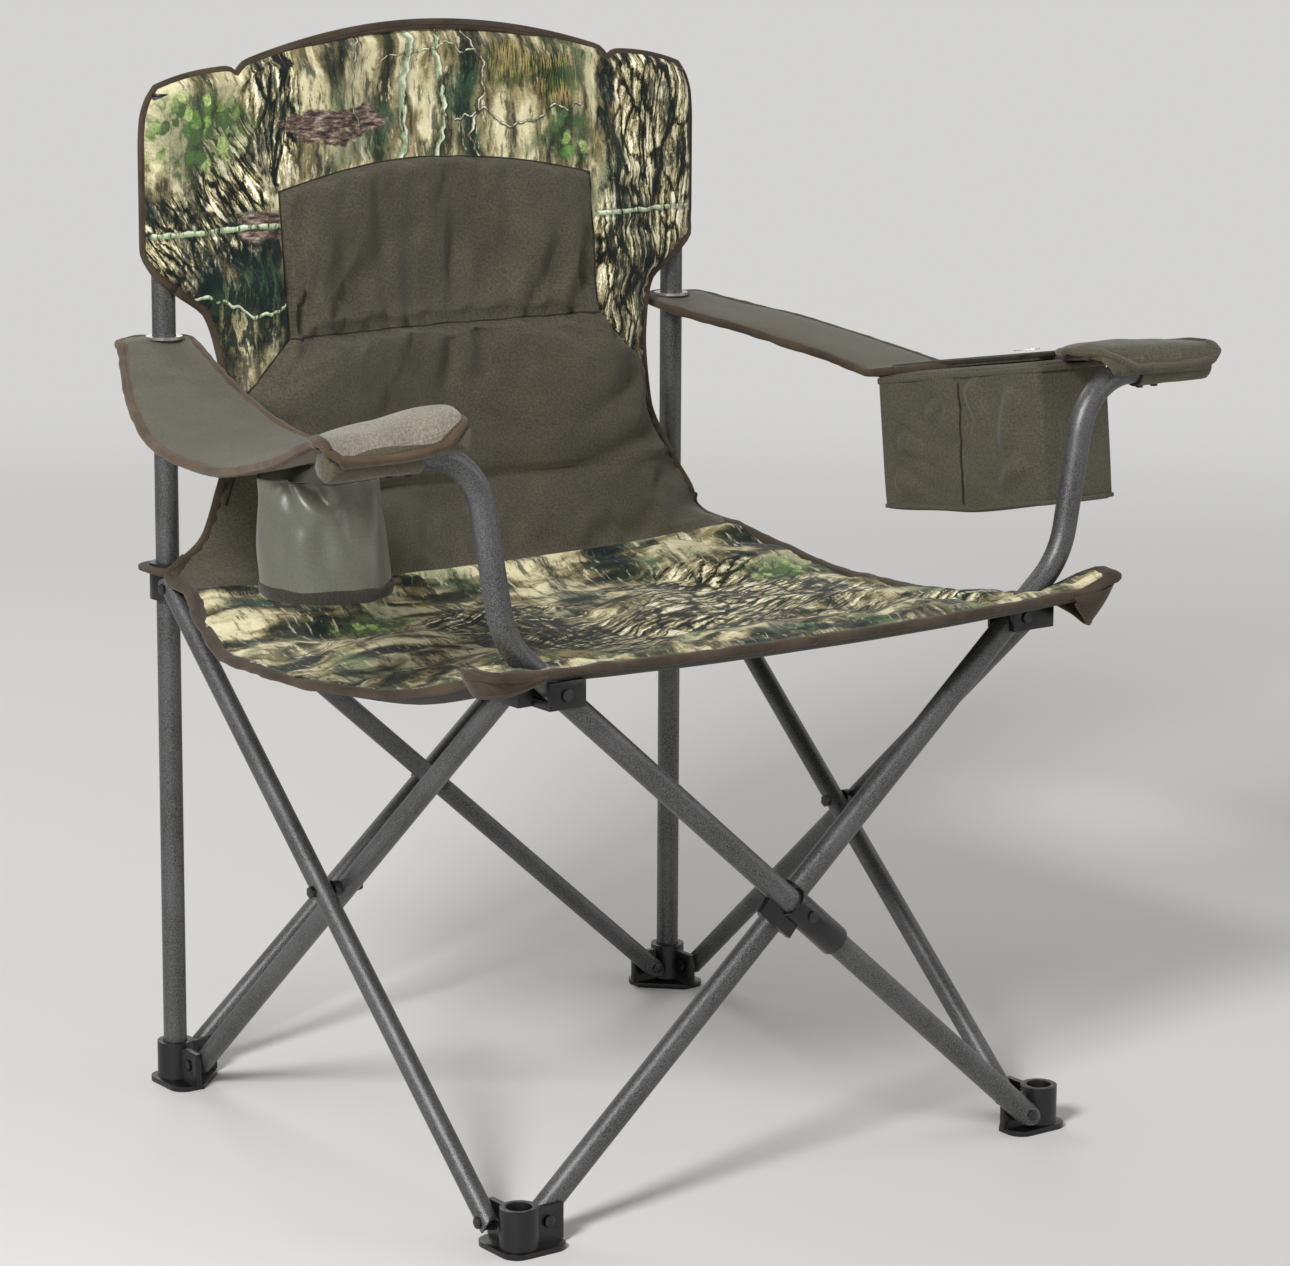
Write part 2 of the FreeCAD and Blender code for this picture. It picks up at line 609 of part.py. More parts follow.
def crossing_bolt(label, at, along):
    """A bolt with its nut, and the spacer that keeps two crossing tubes apart."""
    reach = "layout.brace_offset + layout.brace_radius"
    bolt = pin(label + "_bolt", along, f"-({reach})", reach, 0, 0, hexagonal=True)
    gap = "layout.brace_offset - layout.brace_radius - sizes.spacer_gap"
    spot = (f"-({gap})", 0, 0) if along == "x" else (0, f"-({gap})", 0)
    disc = rod(label + "_disc", "sizes.spacer_diameter / 2", f"2 * ({gap})", spot, along)
    hole = rod(label + "_disc_hole", "layout.pivot_bore", f"2 * ({gap})", spot, along)
    spacer = cut(label + "_spacer", disc, hole)
    return piece(grouped(label + "_set", bolt, spacer), label, at)


def clamp_rivet(label, at):
    reach = "layout.arm_offset + layout.clamp_radius"
    return piece(pin(label + "_pin", "y", f"-({reach})", reach, 0, 0), label, at)


def sleeve_screws(label, sign, at):
    """Two short screws that hold an arm sleeve to its tube from below."""
    screws = []
    for number in range(2):
        x = f"{sign} * {number} * sizes.screw_pitch"
        shank = rod(f"{label}_shank_{number}", "sizes.screw_diameter / 2",
                    "sizes.sleeve_skin + sizes.sleeve_play", (x, 0, 0))
        head = rod(f"{label}_head_{number}", "sizes.screw_head / 2", "sizes.screw_head_height",
                   (x, 0, "-sizes.screw_head_height"))
        screws.append(joined(f"{label}_screw_{number}", shank, head))
    return piece(grouped(label + "_pair", *screws), label, at)


# ---------------------------------------------------------------- sewn parts
def closed_wire(points):
    return Part.makePolygon(points + [points[0]])


def ribbon(rows, thickness):
    """A sheet through rows of points, thickened by the vector that each row is given."""
    wires = [closed_wire(row + [p - thickness for p in reversed(row)]) for row in rows]
    loft = Part.makeLoft(wires, True, True)
    if loft.Volume < 0:
        loft.reverse()
    return loft


def mirrored(shape, sign):
    return shape if sign > 0 else shape.mirror(Vector(), AXIS_X)


def back_y(x, z):
    """Where the front face of the back sling stands: it leans back and bows in the middle."""
    lean = size("rear_y") - size("back_low_y") + (z - size("back_bottom")) * size("back_lean")
    return lean + size("back_bow") * math.cos(math.pi / 2 * min(1, x / size("half")))


def back_slab(x_end, front, thickness, top):
    """The back sling's slab from the middle to one side, before its outline is cut."""
    rows, strips = [], 3
    for step in range(strips + 1):
        x = x_end * step / strips
        heights = [size("back_bottom"), top]
        row = [Vector(x, back_y(x, z) - front, z) for z in heights]
        rows.append(row)
    return ribbon(rows, Vector(0, -thickness, 0))


def flat_prism(points, normal, length):
    """A closed outline pushed along its normal."""
    return Part.Face(closed_wire(points)).extrude(normal * length)


def arch(x_end, z_end, z_crown, steps=6):
    """The points of a shallow arch from its crown to one end."""
    return [(x_end * n / steps, z_crown - (z_crown - z_end) * (n / steps) ** 2)
            for n in range(steps + 1)]


def back_outline(kind):
    """Half of the front view of the back shell or of its padded panel."""
    bottom, middle = size("back_bottom"), 0.5
    if kind == "shell":
        rise = size("pocket_bottom") - bottom
        notch_top = size("back_corner_height") + size("back_arch_rise")
        side = [(size("back_flare"), bottom),
                (size("back_flare"), bottom + size("back_flare_height")),
                (size("back_waist"), bottom + size("back_waist_from") * rise),
                (size("back_waist"), bottom + size("back_waist_to") * rise),
                (size("back_half_width"), bottom + size("back_full_width_from") * rise),
                (size("back_half_width"), size("back_corner_height")),
                (size("back_notch"), size("back_corner_height") + size("back_shoulder_rise"))]
        top = arch(size("back_notch"), notch_top, size("back_crown"))
    else:
        wide = size("pad_half_width")
        side = [(wide + size("pad_flare"), bottom), (wide, bottom + size("pad_flare_height")),
                (wide, size("pad_corner_height"))]
        top = arch(wide, size("pad_corner_height"), size("pad_crown"))[:-1]
    points = side + list(reversed(top)) + [(0, bottom)]
    return [Vector(max(x, middle), 0, z) for x, z in points]


def back_half(label, sign, kind):
    """Half of the back shell, or of the padded panel on its front."""
    if kind == "shell":
        wide = size("back_flare") + size("overlap")
        slab = back_slab(wide, 0, -size("back_thickness"), size("back_crown"))
    else:
        stand = size("pad_thickness") + size("fabric_clearance") / 2
        wide = size("pad_half_width") + size("pad_flare") + size("overlap")
        slab = back_slab(wide, stand, -size("pad_thickness"), size("pad_crown"))
    prism = flat_prism(back_outline(kind), AXIS_Y, size("socket_spacing"))
    return freeform(label, mirrored(slab.common(prism), sign))


def post_pocket(label, at):
    """The sewn pocket that drops over a post's top."""
    reach, depth = "sizes.pocket_reach", "sizes.pocket_depth"
    tall = "sizes.back_corner_height - sizes.pocket_bottom"
    wide = f"2 * {reach}"
    shell = block(label + "_block", (wide, depth, tall), (f"-{reach}", f"-{depth} / 2", 0))
    bore = rod(label + "_bore", "layout.post_radius + sizes.fabric_clearance / 2",
               f"{tall} - sizes.pocket_top_skin")
    rounded = doc.addObject("Part::Fillet", label + "_rounded")
    rounded.Base = shell
    doc.recompute()
    edges = [n for n, e in enumerate(shell.Shape.Edges, start=1)
             if abs(e.Vertexes[0].Z - e.Vertexes[1].Z) > 1]
    corner = size("pocket_corner")
    rounded.Edges = [(n, corner, corner) for n in edges]
    return piece(cut(label + "_body", rounded, bore), label, at)


def seat_share(y):
    """How far forward a place is: 0 at the rear posts, 1 at the front hubs."""
    return min(1, max(0, (size("rear_y") - y) / size("socket_spacing")))


def seat_z(x, y):
    """The top of the seat sling: held at both ends, dipping between them."""
    share, ends = seat_share(y), size("seat_flat_share")
    inside = min(1, max(0, (share - ends) / (1 - 2 * ends)))
    held = size("seat_rear_height") * (1 - share) + size("seat_front_height") * share
    across = 1 - min(1, abs(x) / size("half")) ** 2
    return held - size("seat_dip") * math.sin(math.pi * inside) - size("seat_cross_sag") * across


def seat_edge(y):
    """How far the seat reaches sideways: it bulges, and flares at its front corners."""
    bulge = size("seat_side_bulge") * math.sin(math.pi * seat_share(y))
    edge = size("half") + size("seat_side_reach") + bulge
    return max(edge, size("half") + size("seat_corner_reach")) if seat_share(y) == 1 else edge


def seat_half(label, sign):
    """Half of the seat sling, with a hole where the arm tube comes up through its corner."""
    rear = size("rear_y") - size("seat_rear_inset")
    front = size("front_y") - size("seat_front_reach")
    middle, rows = size("side_gap"), []
    count, strips = 12, 4
    for step in range(count + 1):
        y = rear + (front - rear) * step / count
        wide = seat_edge(y)
        rows.append([Vector(max(middle, wide * n / strips), y, seat_z(wide * n / strips, y))
                     for n in range(strips + 1)])
    half = ribbon(rows, Vector(0, 0, size("seat_thickness")))
    return freeform(label, mirrored(half.cut(tube_room(arm_plane(sign))), sign))


def tube_room(plane):
    """The arm tube of the right-hand side with play all round, in its own plane."""
    start = Vector(-size("pivot_x"), plane, size("foot_pivot_height"))
    corners = [start + corner for corner in arm_path(1)]
    path = rounded_wire(corners, [size("arm_low_bend"), size("arm_high_bend")])
    radius = size("arm_radius") + size("tube_hole_play")
    section = Part.Wire(Part.makeCircle(radius, corners[0], corners[1] - corners[0]))
    return path.makePipeShell([section], True, False)


def corner_pocket(label, sign):
    """The flap of binding that hangs outside a front hub, clear of the arm tube."""
    drop, long_side = size("corner_pocket_drop"), size("corner_pocket_length")
    front = size("front_y") - size("seat_front_reach") + size("corner_pocket_inset")
    top = size("seat_front_height") - size("seat_thickness") - size("fabric_clearance")
    x = size("half") + size("corner_pocket_stand_off")
    corners = [(0, 0), (0, -size("corner_pocket_end_share") * drop),
               (size("corner_pocket_low_share") * long_side, -drop), (long_side, 0)]
    points = [Vector(x, front + y, top + z) for y, z in corners]
    flap = flat_prism(points, AXIS_X, size("corner_pocket_skin"))
    return freeform(label, mirrored(flap.cut(tube_room(arm_plane(sign))), sign))


def rear_tab(label, at):
    """The sling's rear corner tab round a post, on top of the collar."""
    disc = rod(label + "_disc", "sizes.tab_radius", "sizes.tab_thickness")
    hole = rod(label + "_hole", "layout.post_radius + sizes.fabric_clearance",
               "sizes.tab_thickness")
    return piece(cut(label + "_body", disc, hole), label, at)


def eyelet(label, at):
    """A pressed metal ring with a flange, round a post."""
    disc = rod(label + "_disc", "sizes.eyelet_radius", "sizes.eyelet_height")
    hole = rod(label + "_hole", "layout.post_radius + sizes.fabric_clearance / 2",
               "sizes.eyelet_height")
    return piece(cut(label + "_body", disc, hole), label, at)


def armrest_front_height():
    """The armrest lies over its sleeve there."""
    return (size("arm_level") + size("sleeve_radius") + size("armrest_thickness")
            + size("fabric_clearance") / 2)


def arm_plane(sign):
    """The middle plane of an arm tube, across the chair."""
    return size("front_y") + sign * size("arm_offset")


def cooler_reach():
    """(nearest y, farthest y) of the cooler."""
    front = arm_plane(1) + size("cooler_from_sleeve")
    return front, front + size("cooler_length")


def evenly(start, stop, count):
    """Places from start to stop, both of them included."""
    return [start + (stop - start) * step / count for step in range(count + 1)]


def armrest_stations(sign):
    """(y, inner edge, outer edge, height, outer droop) along an armrest, back to front.

    The strip lies level over its sleeve.  On the left it sags in one curve from there to the
    post; on the right the cooler pulls it into two straight runs that meet at its rear end.
    """
    plane, taut = arm_plane(sign), sign > 0
    half, rear = size("half"), size("rear_y")
    back_end = rear + size("armrest_rear_reach")
    front_end = plane - size("sleeve_radius")
    outer_end = half + size("arm_end")
    level_from = plane + size("sleeve_radius") + size("armrest_level_margin")
    low_at = cooler_reach()[1] + size("cooler_low_margin")
    if taut:
        places = [back_end] + evenly(rear, low_at, 6) + evenly(low_at, level_from, 7)[1:]
    else:
        places = evenly(back_end, level_from, 14)
    rows = []
    for y in places + [front_end]:
        along = min(1, max(0, (rear - y) / (rear - plane)))
        inner = (size("armrest_rear_inner") * (1 - along) ** 2
                 + 2 * size("armrest_mid_inner") * along * (1 - along)
                 + size("armrest_front_inner") * along ** 2)
        swell = math.sin(math.pi / 2 * min(1, along * 2))
        outer = (size("armrest_rear_outer")
                 + (size("armrest_mid_outer") - size("armrest_rear_outer")) * swell
                 + (outer_end - size("armrest_mid_outer")) * max(0, 2 * along - 1))
        sagging = min(1, max(0, (rear - y) / (rear - level_from)))
        dip = math.sin(math.pi * sagging)
        if taut:
            behind, ahead = (rear - y) / (rear - low_at), (y - level_from) / (low_at - level_from)
            dip = max(0, min(behind, ahead))
        held = size("armrest_height") * (1 - sagging) + armrest_front_height() * sagging
        droop = 0 if taut else size("armrest_tilt") * dip
        rows.append((y, inner, outer, held - size("armrest_dip") * dip, droop))
    return rows


def armrest_top(sign, y, x):
    """The armrest's top surface at a place on it."""
    rows = armrest_stations(sign)
    for (y0, in0, out0, z0, t0), (y1, in1, out1, z1, t1) in zip(rows, rows[1:]):
        if y1 <= y <= y0:
            share = (y0 - y) / (y0 - y1)
            inner, outer = in0 + (in1 - in0) * share, out0 + (out1 - out0) * share
            height, tilt = z0 + (z1 - z0) * share, t0 + (t1 - t0) * share
            return height - tilt * (x - inner) / (outer - inner)
    raise ValueError(f"no armrest at y = {y}")


def armrest(label, sign, opening):
    """A fabric strip from a post to an arm sleeve, with its post slot and opening."""
    rows = [[Vector(inner + (outer - inner) * n / 2, y, height - tilt * n / 2)
             for n in range(3)]
            for y, inner, outer, height, tilt in armrest_stations(sign)]
    strip = ribbon(rows, Vector(0, 0, size("armrest_thickness")))
    bore = size("post_radius") + size("slot_play")
    reach = size("armrest_dip")
    slot = Part.makeCylinder(bore, 2 * reach, Vector(size("half"), size("rear_y"),
                                                     size("armrest_height") - reach))
    return freeform(label, mirrored(strip.cut(slot).cut(opening), sign))


def cup_middle():
    return Vector(size("half") + size("cup_from_post"),
                  arm_plane(-1) + size("cup_from_sleeve"), 0)


def cup_rim():
    """The highest level that clears the strip's underside all round the cup holder."""
    middle, radius = cup_middle(), size("cup_radius")
    spots = 24
    low = min(armrest_top(-1, middle.y + radius * math.sin(a),
                          middle.x + radius * math.cos(a))
              for a in (2 * math.pi * n / spots for n in range(spots)))
    return low - size("armrest_thickness") - size("fabric_clearance")


def cup_holder(label):
    """A round pouch hanging under the left armrest's hole."""
    middle, rim = cup_middle(), cup_rim()
    base = Vector(middle.x, middle.y, rim - size("cup_height"))
    outer = Part.makeCylinder(size("cup_radius"), size("cup_height"), base)
    inner = Part.makeCylinder(size("cup_radius") - size("cup_skin"), size("cup_height"),
                              base + AXIS_Z * size("cup_skin"))
    return freeform(label, mirrored(outer.cut(inner), -1))


def cooler_frame():
    """(nearest y, farthest y, inner x, outer x, level of the front rim) of the cooler."""
    front, rear = cooler_reach()
    inner = size("cooler_inner_face")
    outer = inner + size("cooler_width")
    slope = math.tan(math.radians(size("cooler_pitch")))
    steps = 6
    spots = [(front + (rear - front) * n / steps, x)
             for n in range(steps + 1) for x in (inner, outer)]
    rim = min(armrest_top(1, y, x) + (y - front) * slope for y, x in spots)
    return front, rear, inner, outer, rim - size("armrest_thickness") - size("fabric_clearance")


def cooler_body(label):
    """A soft box with an open top, hung with its front end up under the right armrest."""
    front, rear, inner, outer, rim = cooler_frame()
    skin, tall = size("cooler_skin"), size("cooler_height")
    box = Part.makeBox(outer - inner, rear - front, tall, Vector(inner, front, rim - tall))
    corners = [e for e in box.Edges if abs(e.Vertexes[0].Z - e.Vertexes[1].Z) > 1]
    box = box.makeFillet(2 * skin, corners)
    room = Part.makeBox(outer - inner - 2 * skin, rear - front - 2 * skin, tall,
                        Vector(inner + skin, front + skin, rim - tall + skin))
    hung = Placement(Vector(), Rotation(AXIS_X, -size("cooler_pitch")), Vector(inner, front, rim))
    return freeform(label, box.cut(room), hung)


def lid_frame():
    """(nearest y, farthest y, inner x, outer x) of the cooler's lid panel."""
    front, rear, inner, outer, _ = cooler_frame()
    skin, margin = size("cooler_skin"), size("lid_margin")
    return (front + skin + margin, rear - skin - margin, inner + skin + margin,
            outer - skin - margin)


def cooler_lid(label):
    """The panel that closes the cooler through the armrest's opening."""
    front, rear, inner, outer = lid_frame()
    play = size("fabric_clearance")
    rows, strips = [], 4
    for step in range(strips + 1):
        y = rear - play + (front - rear + 2 * play) * step / strips
        rows.append([Vector(x, y, armrest_top(1, y, x))
                     for x in (inner + play, outer - play)])
    return freeform(label, ribbon(rows, Vector(0, 0, size("lid_thickness"))))


def arm_sleeve(label, sign, at):
    """The tube of cloth round an arm tube's outer end."""
    length = "sizes.sleeve_length"
    start = (0, 0, 0) if sign > 0 else (f"-{length} - sizes.sleeve_skin", 0, 0)
    bore_start = (0, 0, 0) if sign > 0 else (f"-{length}", 0, 0)
    outer = rod(label + "_outer", "layout.sleeve_radius", f"{length} + sizes.sleeve_skin",
                start, "x")
    inner = rod(label + "_inner", "layout.sleeve_bore", length, bore_start, "x")
    screw_holes = []
    for number in range(2):
        x = f"{sign} * (sizes.screw_pitch + {number} * sizes.screw_pitch)"
        screw_holes.append(rod(f"{label}_screw_hole_{number}",
                               "sizes.screw_diameter / 2 + sizes.pivot_clearance",
                               "layout.sleeve_radius", (x, 0, "-layout.sleeve_radius")))
    return piece(cut(label + "_body", outer, inner, *screw_holes), label, at)


# ---------------------------------------------------------------- the chair
FRONT, REAR = "layout.front_y", "layout.rear_y"
LOW, HIGH = "sizes.foot_pivot_height", "sizes.hub_pivot_height"
CORNERS = {
    "front_left": ("-layout.half", FRONT, 0),
    "front_right": ("layout.half", FRONT, 90),
    "rear_right": ("layout.half", REAR, 180),
    "rear_left": ("-layout.half", REAR, 270),
}
BRACE_FACE = "layout.brace_offset + layout.brace_radius"
ARM_FACE = "layout.arm_offset + layout.arm_radius"
COVER_BACK = "layout.cover_face + sizes.cover_thickness"

for corner, (x, y, turn) in CORNERS.items():
    foot("foot_" + corner, (x, y, 0), turn)
    x_face = ARM_FACE if corner == "front_left" else BRACE_FACE
    y_face = ARM_FACE if corner == "front_right" else BRACE_FACE
    lug_rivets("foot_rivets_" + corner, (x, y, 0), turn, LOW, (1, x_face), (-1, y_face))

for side, x in (("left", "-layout.half"), ("right", "layout.half")):
    post("rear_post_" + side, (x, REAR, "sizes.post_bottom"))
    post_cap("post_cap_" + side, (x, REAR, "sizes.post_top"))
    turn = CORNERS["rear_" + side][2]
    collar("collar_" + side, (x, REAR, HIGH), turn)
    lug_rivets("collar_rivets_" + side, (x, REAR, HIGH), turn, 0, (-1, BRACE_FACE),
               (1, BRACE_FACE))
    turn = CORNERS["front_" + side][2]
    hub("hub_" + side, (x, FRONT, HIGH), turn, side == "left")
    faces = (COVER_BACK, BRACE_FACE) if side == "left" else (BRACE_FACE, COVER_BACK)
    lug_rivets("hub_rivets_" + side, (x, FRONT, HIGH), turn, 0, (-1, faces[0]), (1, faces[1]))

arm_tube("front_tube_left_arm", -1, ("layout.pivot_x", f"{FRONT} - layout.arm_offset", LOW))
arm_tube("front_tube_right_arm", 1, ("-layout.pivot_x", f"{FRONT} + layout.arm_offset", LOW))

rear_pivot, front_pivot = f"{REAR} - sizes.pivot_inset", f"{FRONT} + sizes.pivot_inset"
brace("rear_brace_outer", "x", ("-layout.pivot_x", f"{REAR} + layout.brace_offset", LOW),
      "-layout.tilt")
brace("rear_brace_inner", "x", ("layout.pivot_x", f"{REAR} - layout.brace_offset", LOW),
      "layout.tilt - 180")
brace("left_brace_outer", "y", ("-layout.half - layout.brace_offset", front_pivot, LOW),
      "layout.tilt")
brace("left_brace_inner", "y", ("-layout.half + layout.brace_offset", rear_pivot, LOW),
      "180 - layout.tilt")
brace("right_brace_outer", "y", ("layout.half + layout.brace_offset", rear_pivot, LOW),
      "180 - layout.tilt")
brace("right_brace_inner", "y", ("layout.half - layout.brace_offset", front_pivot, LOW),
      "layout.tilt")

MIDDLE = "layout.cross_height"
crossing_bolt("rear_crossing_bolt", (0, REAR, MIDDLE), "y")
crossing_bolt("left_crossing_bolt", ("-layout.half", "sizes.depth_shift", MIDDLE), "x")
crossing_bolt("right_crossing_bolt", ("layout.half", "sizes.depth_shift", MIDDLE), "x")
clamp("front_clamp_left_arm", (0, f"{FRONT} - layout.arm_offset", MIDDLE), "layout.tilt",
      "sizes.clamp_short", "sizes.clamp_long", True)
clamp("front_clamp_right_arm", (0, f"{FRONT} + layout.arm_offset", MIDDLE), "-layout.tilt",
      "sizes.clamp_short", "sizes.clamp_short", False)
clamp_rivet("front_clamp_rivet", (0, FRONT, MIDDLE))

for side, sign in (("left", -1), ("right", 1)):
    x = f"{sign} * layout.half"
    back_half("back_shell_" + side, sign, "shell")
    back_half("back_pad_" + side, sign, "pad")
    post_pocket("post_pocket_" + side, (x, REAR, "sizes.pocket_bottom"))
    seat_half("seat_" + side, sign)
    corner_pocket("corner_pocket_" + side, sign)
    tab_base = "layout.collar_top + sizes.tab_lift"
    rear_tab("rear_tab_" + side, (x, REAR, tab_base))
    eyelet("tab_grommet_" + side,
           (x, REAR, f"{tab_base} + sizes.tab_thickness + sizes.grommet_gap"))
    sleeve_start = f"{sign} * (layout.half + sizes.arm_end - sizes.sleeve_length)"
    plane = f"{FRONT} + {sign} * layout.arm_offset"
    arm_sleeve("arm_sleeve_" + side, sign, (sleeve_start, plane, "sizes.arm_level"))
    sleeve_screws("sleeve_screws_" + side, sign,
                  (f"{sleeve_start} + {sign} * sizes.screw_pitch", plane,
                   "sizes.arm_level - layout.sleeve_radius"))
    eyelet("armrest_eyelet_" + side, (x, REAR, "sizes.armrest_height + sizes.armrest_eyelet_lift"))

cup = cup_middle()
cup_depth, cooler_depth = size("cup_height"), size("cooler_height")
cup_hole = Part.makeCylinder(size("cup_hole_radius"), 2 * cup_depth,
                             cup + AXIS_Z * (size("arm_level") - cup_depth))
armrest("armrest_left", -1, cup_hole)
cup_holder("cup_holder")
lid_front, lid_rear, lid_inner, lid_outer = lid_frame()
lid_hole = Part.makeBox(lid_outer - lid_inner, lid_rear - lid_front, 2 * cooler_depth,
                        Vector(lid_inner, lid_front, size("arm_level") - cooler_depth))
armrest("armrest_right", 1, lid_hole)
cooler_body("cooler_body")
cooler_lid("cooler_lid")

# ---------------------------------------------------------------- checks and export
doc.recompute()
for item in doc.Objects:
    if {"Invalid", "Error"} & set(item.State):
        raise ValueError(f"{item.Label} failed: {item.State}")
os.makedirs("parts", exist_ok=True)
for item in pieces:
    shape = item.Shape
    if shape.isNull() or not shape.isValid() or not shape.Solids:
        raise ValueError(f"{item.Label} is not a sound solid")
    shape.exportStep(f"parts/{item.Label}.step")
print(len(pieces), "pieces")
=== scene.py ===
"""Folding camp armchair, dressed: bevelled mouldings and painted tubes, a sewn sling in
woodland cloth with a brown padded panel, two armrest strips, a cup holder and a cooler."""

import json
import math

import bmesh
import bpy
import numpy as np
from mathutils import Matrix, Vector, noise
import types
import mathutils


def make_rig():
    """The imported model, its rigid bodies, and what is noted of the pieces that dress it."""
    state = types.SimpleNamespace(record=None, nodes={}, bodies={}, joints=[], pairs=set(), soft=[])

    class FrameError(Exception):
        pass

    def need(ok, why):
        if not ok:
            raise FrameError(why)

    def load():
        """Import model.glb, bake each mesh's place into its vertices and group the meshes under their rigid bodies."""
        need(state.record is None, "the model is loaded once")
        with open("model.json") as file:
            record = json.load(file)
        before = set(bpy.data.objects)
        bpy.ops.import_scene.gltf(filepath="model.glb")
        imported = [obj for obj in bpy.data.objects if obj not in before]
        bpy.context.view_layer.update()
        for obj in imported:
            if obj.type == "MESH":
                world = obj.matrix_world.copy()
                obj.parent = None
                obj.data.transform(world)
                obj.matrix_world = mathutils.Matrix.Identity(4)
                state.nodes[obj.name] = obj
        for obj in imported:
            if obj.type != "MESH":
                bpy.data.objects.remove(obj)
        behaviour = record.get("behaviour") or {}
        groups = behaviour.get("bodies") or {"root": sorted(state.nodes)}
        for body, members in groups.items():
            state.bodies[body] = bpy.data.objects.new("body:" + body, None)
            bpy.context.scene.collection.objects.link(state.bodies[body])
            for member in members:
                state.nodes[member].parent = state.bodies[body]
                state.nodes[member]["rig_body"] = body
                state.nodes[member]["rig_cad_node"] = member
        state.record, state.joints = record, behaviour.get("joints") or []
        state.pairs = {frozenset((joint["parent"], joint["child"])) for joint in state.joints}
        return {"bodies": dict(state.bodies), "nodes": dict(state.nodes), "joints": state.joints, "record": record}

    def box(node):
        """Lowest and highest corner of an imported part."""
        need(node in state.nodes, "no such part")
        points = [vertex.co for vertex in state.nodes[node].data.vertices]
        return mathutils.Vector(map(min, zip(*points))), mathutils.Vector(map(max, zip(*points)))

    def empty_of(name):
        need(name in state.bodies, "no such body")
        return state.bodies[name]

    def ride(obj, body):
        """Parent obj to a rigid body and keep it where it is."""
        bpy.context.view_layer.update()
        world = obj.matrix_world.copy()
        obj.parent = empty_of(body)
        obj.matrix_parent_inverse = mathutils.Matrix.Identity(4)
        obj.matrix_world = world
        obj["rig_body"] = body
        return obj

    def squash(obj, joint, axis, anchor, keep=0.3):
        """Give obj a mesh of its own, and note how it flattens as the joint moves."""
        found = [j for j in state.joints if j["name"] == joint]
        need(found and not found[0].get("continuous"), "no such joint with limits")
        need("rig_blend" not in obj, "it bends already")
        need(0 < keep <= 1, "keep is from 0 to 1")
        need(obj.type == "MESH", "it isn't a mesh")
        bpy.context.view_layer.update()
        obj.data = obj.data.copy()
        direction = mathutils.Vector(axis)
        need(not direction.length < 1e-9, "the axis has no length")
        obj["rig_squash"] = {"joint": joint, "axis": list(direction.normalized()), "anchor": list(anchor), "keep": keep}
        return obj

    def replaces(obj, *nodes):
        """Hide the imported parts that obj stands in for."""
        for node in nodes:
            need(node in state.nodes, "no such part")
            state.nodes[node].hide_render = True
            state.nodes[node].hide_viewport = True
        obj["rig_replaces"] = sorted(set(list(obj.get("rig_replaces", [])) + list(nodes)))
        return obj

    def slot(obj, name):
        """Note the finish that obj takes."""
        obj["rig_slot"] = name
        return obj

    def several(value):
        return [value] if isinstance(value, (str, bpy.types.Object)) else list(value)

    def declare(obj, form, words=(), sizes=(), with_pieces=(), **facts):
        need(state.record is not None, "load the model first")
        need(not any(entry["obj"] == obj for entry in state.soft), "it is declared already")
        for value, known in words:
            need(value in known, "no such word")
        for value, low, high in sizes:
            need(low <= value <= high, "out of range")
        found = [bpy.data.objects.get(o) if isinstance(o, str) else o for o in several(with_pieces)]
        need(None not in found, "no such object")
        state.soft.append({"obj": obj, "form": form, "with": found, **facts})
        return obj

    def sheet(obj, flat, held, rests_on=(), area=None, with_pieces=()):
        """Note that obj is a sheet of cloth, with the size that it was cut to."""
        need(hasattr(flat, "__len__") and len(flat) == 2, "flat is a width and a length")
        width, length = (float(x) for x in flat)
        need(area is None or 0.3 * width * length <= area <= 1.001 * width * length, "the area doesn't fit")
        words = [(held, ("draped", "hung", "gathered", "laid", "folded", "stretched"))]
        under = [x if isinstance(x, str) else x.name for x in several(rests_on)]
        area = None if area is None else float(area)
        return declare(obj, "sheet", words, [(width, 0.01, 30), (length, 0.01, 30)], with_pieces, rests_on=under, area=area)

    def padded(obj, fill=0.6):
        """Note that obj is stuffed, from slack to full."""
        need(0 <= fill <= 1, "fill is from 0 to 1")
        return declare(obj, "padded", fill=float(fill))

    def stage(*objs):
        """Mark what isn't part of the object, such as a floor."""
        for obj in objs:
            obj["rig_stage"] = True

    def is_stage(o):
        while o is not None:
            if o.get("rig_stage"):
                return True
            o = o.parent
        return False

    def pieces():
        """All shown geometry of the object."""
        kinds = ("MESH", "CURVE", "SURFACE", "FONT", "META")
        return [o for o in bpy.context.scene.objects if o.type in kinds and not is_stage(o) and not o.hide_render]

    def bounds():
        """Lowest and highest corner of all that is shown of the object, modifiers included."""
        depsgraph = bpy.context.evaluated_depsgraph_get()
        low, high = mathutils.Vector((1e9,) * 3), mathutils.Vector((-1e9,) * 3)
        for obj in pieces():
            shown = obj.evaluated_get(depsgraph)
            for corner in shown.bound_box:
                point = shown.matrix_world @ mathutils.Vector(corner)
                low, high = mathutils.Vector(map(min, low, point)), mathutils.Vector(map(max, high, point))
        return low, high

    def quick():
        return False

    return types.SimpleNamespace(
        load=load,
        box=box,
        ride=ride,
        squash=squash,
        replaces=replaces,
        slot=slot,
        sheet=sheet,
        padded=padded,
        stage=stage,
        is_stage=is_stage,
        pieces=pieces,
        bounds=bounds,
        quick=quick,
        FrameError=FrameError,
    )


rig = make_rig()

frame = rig.load()
CAD_BOX = [list(corner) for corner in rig.bounds()]


def middle_of(node):
    """The middle of a node's box in the frame."""
    low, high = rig.box(node)
    return (low + high) / 2


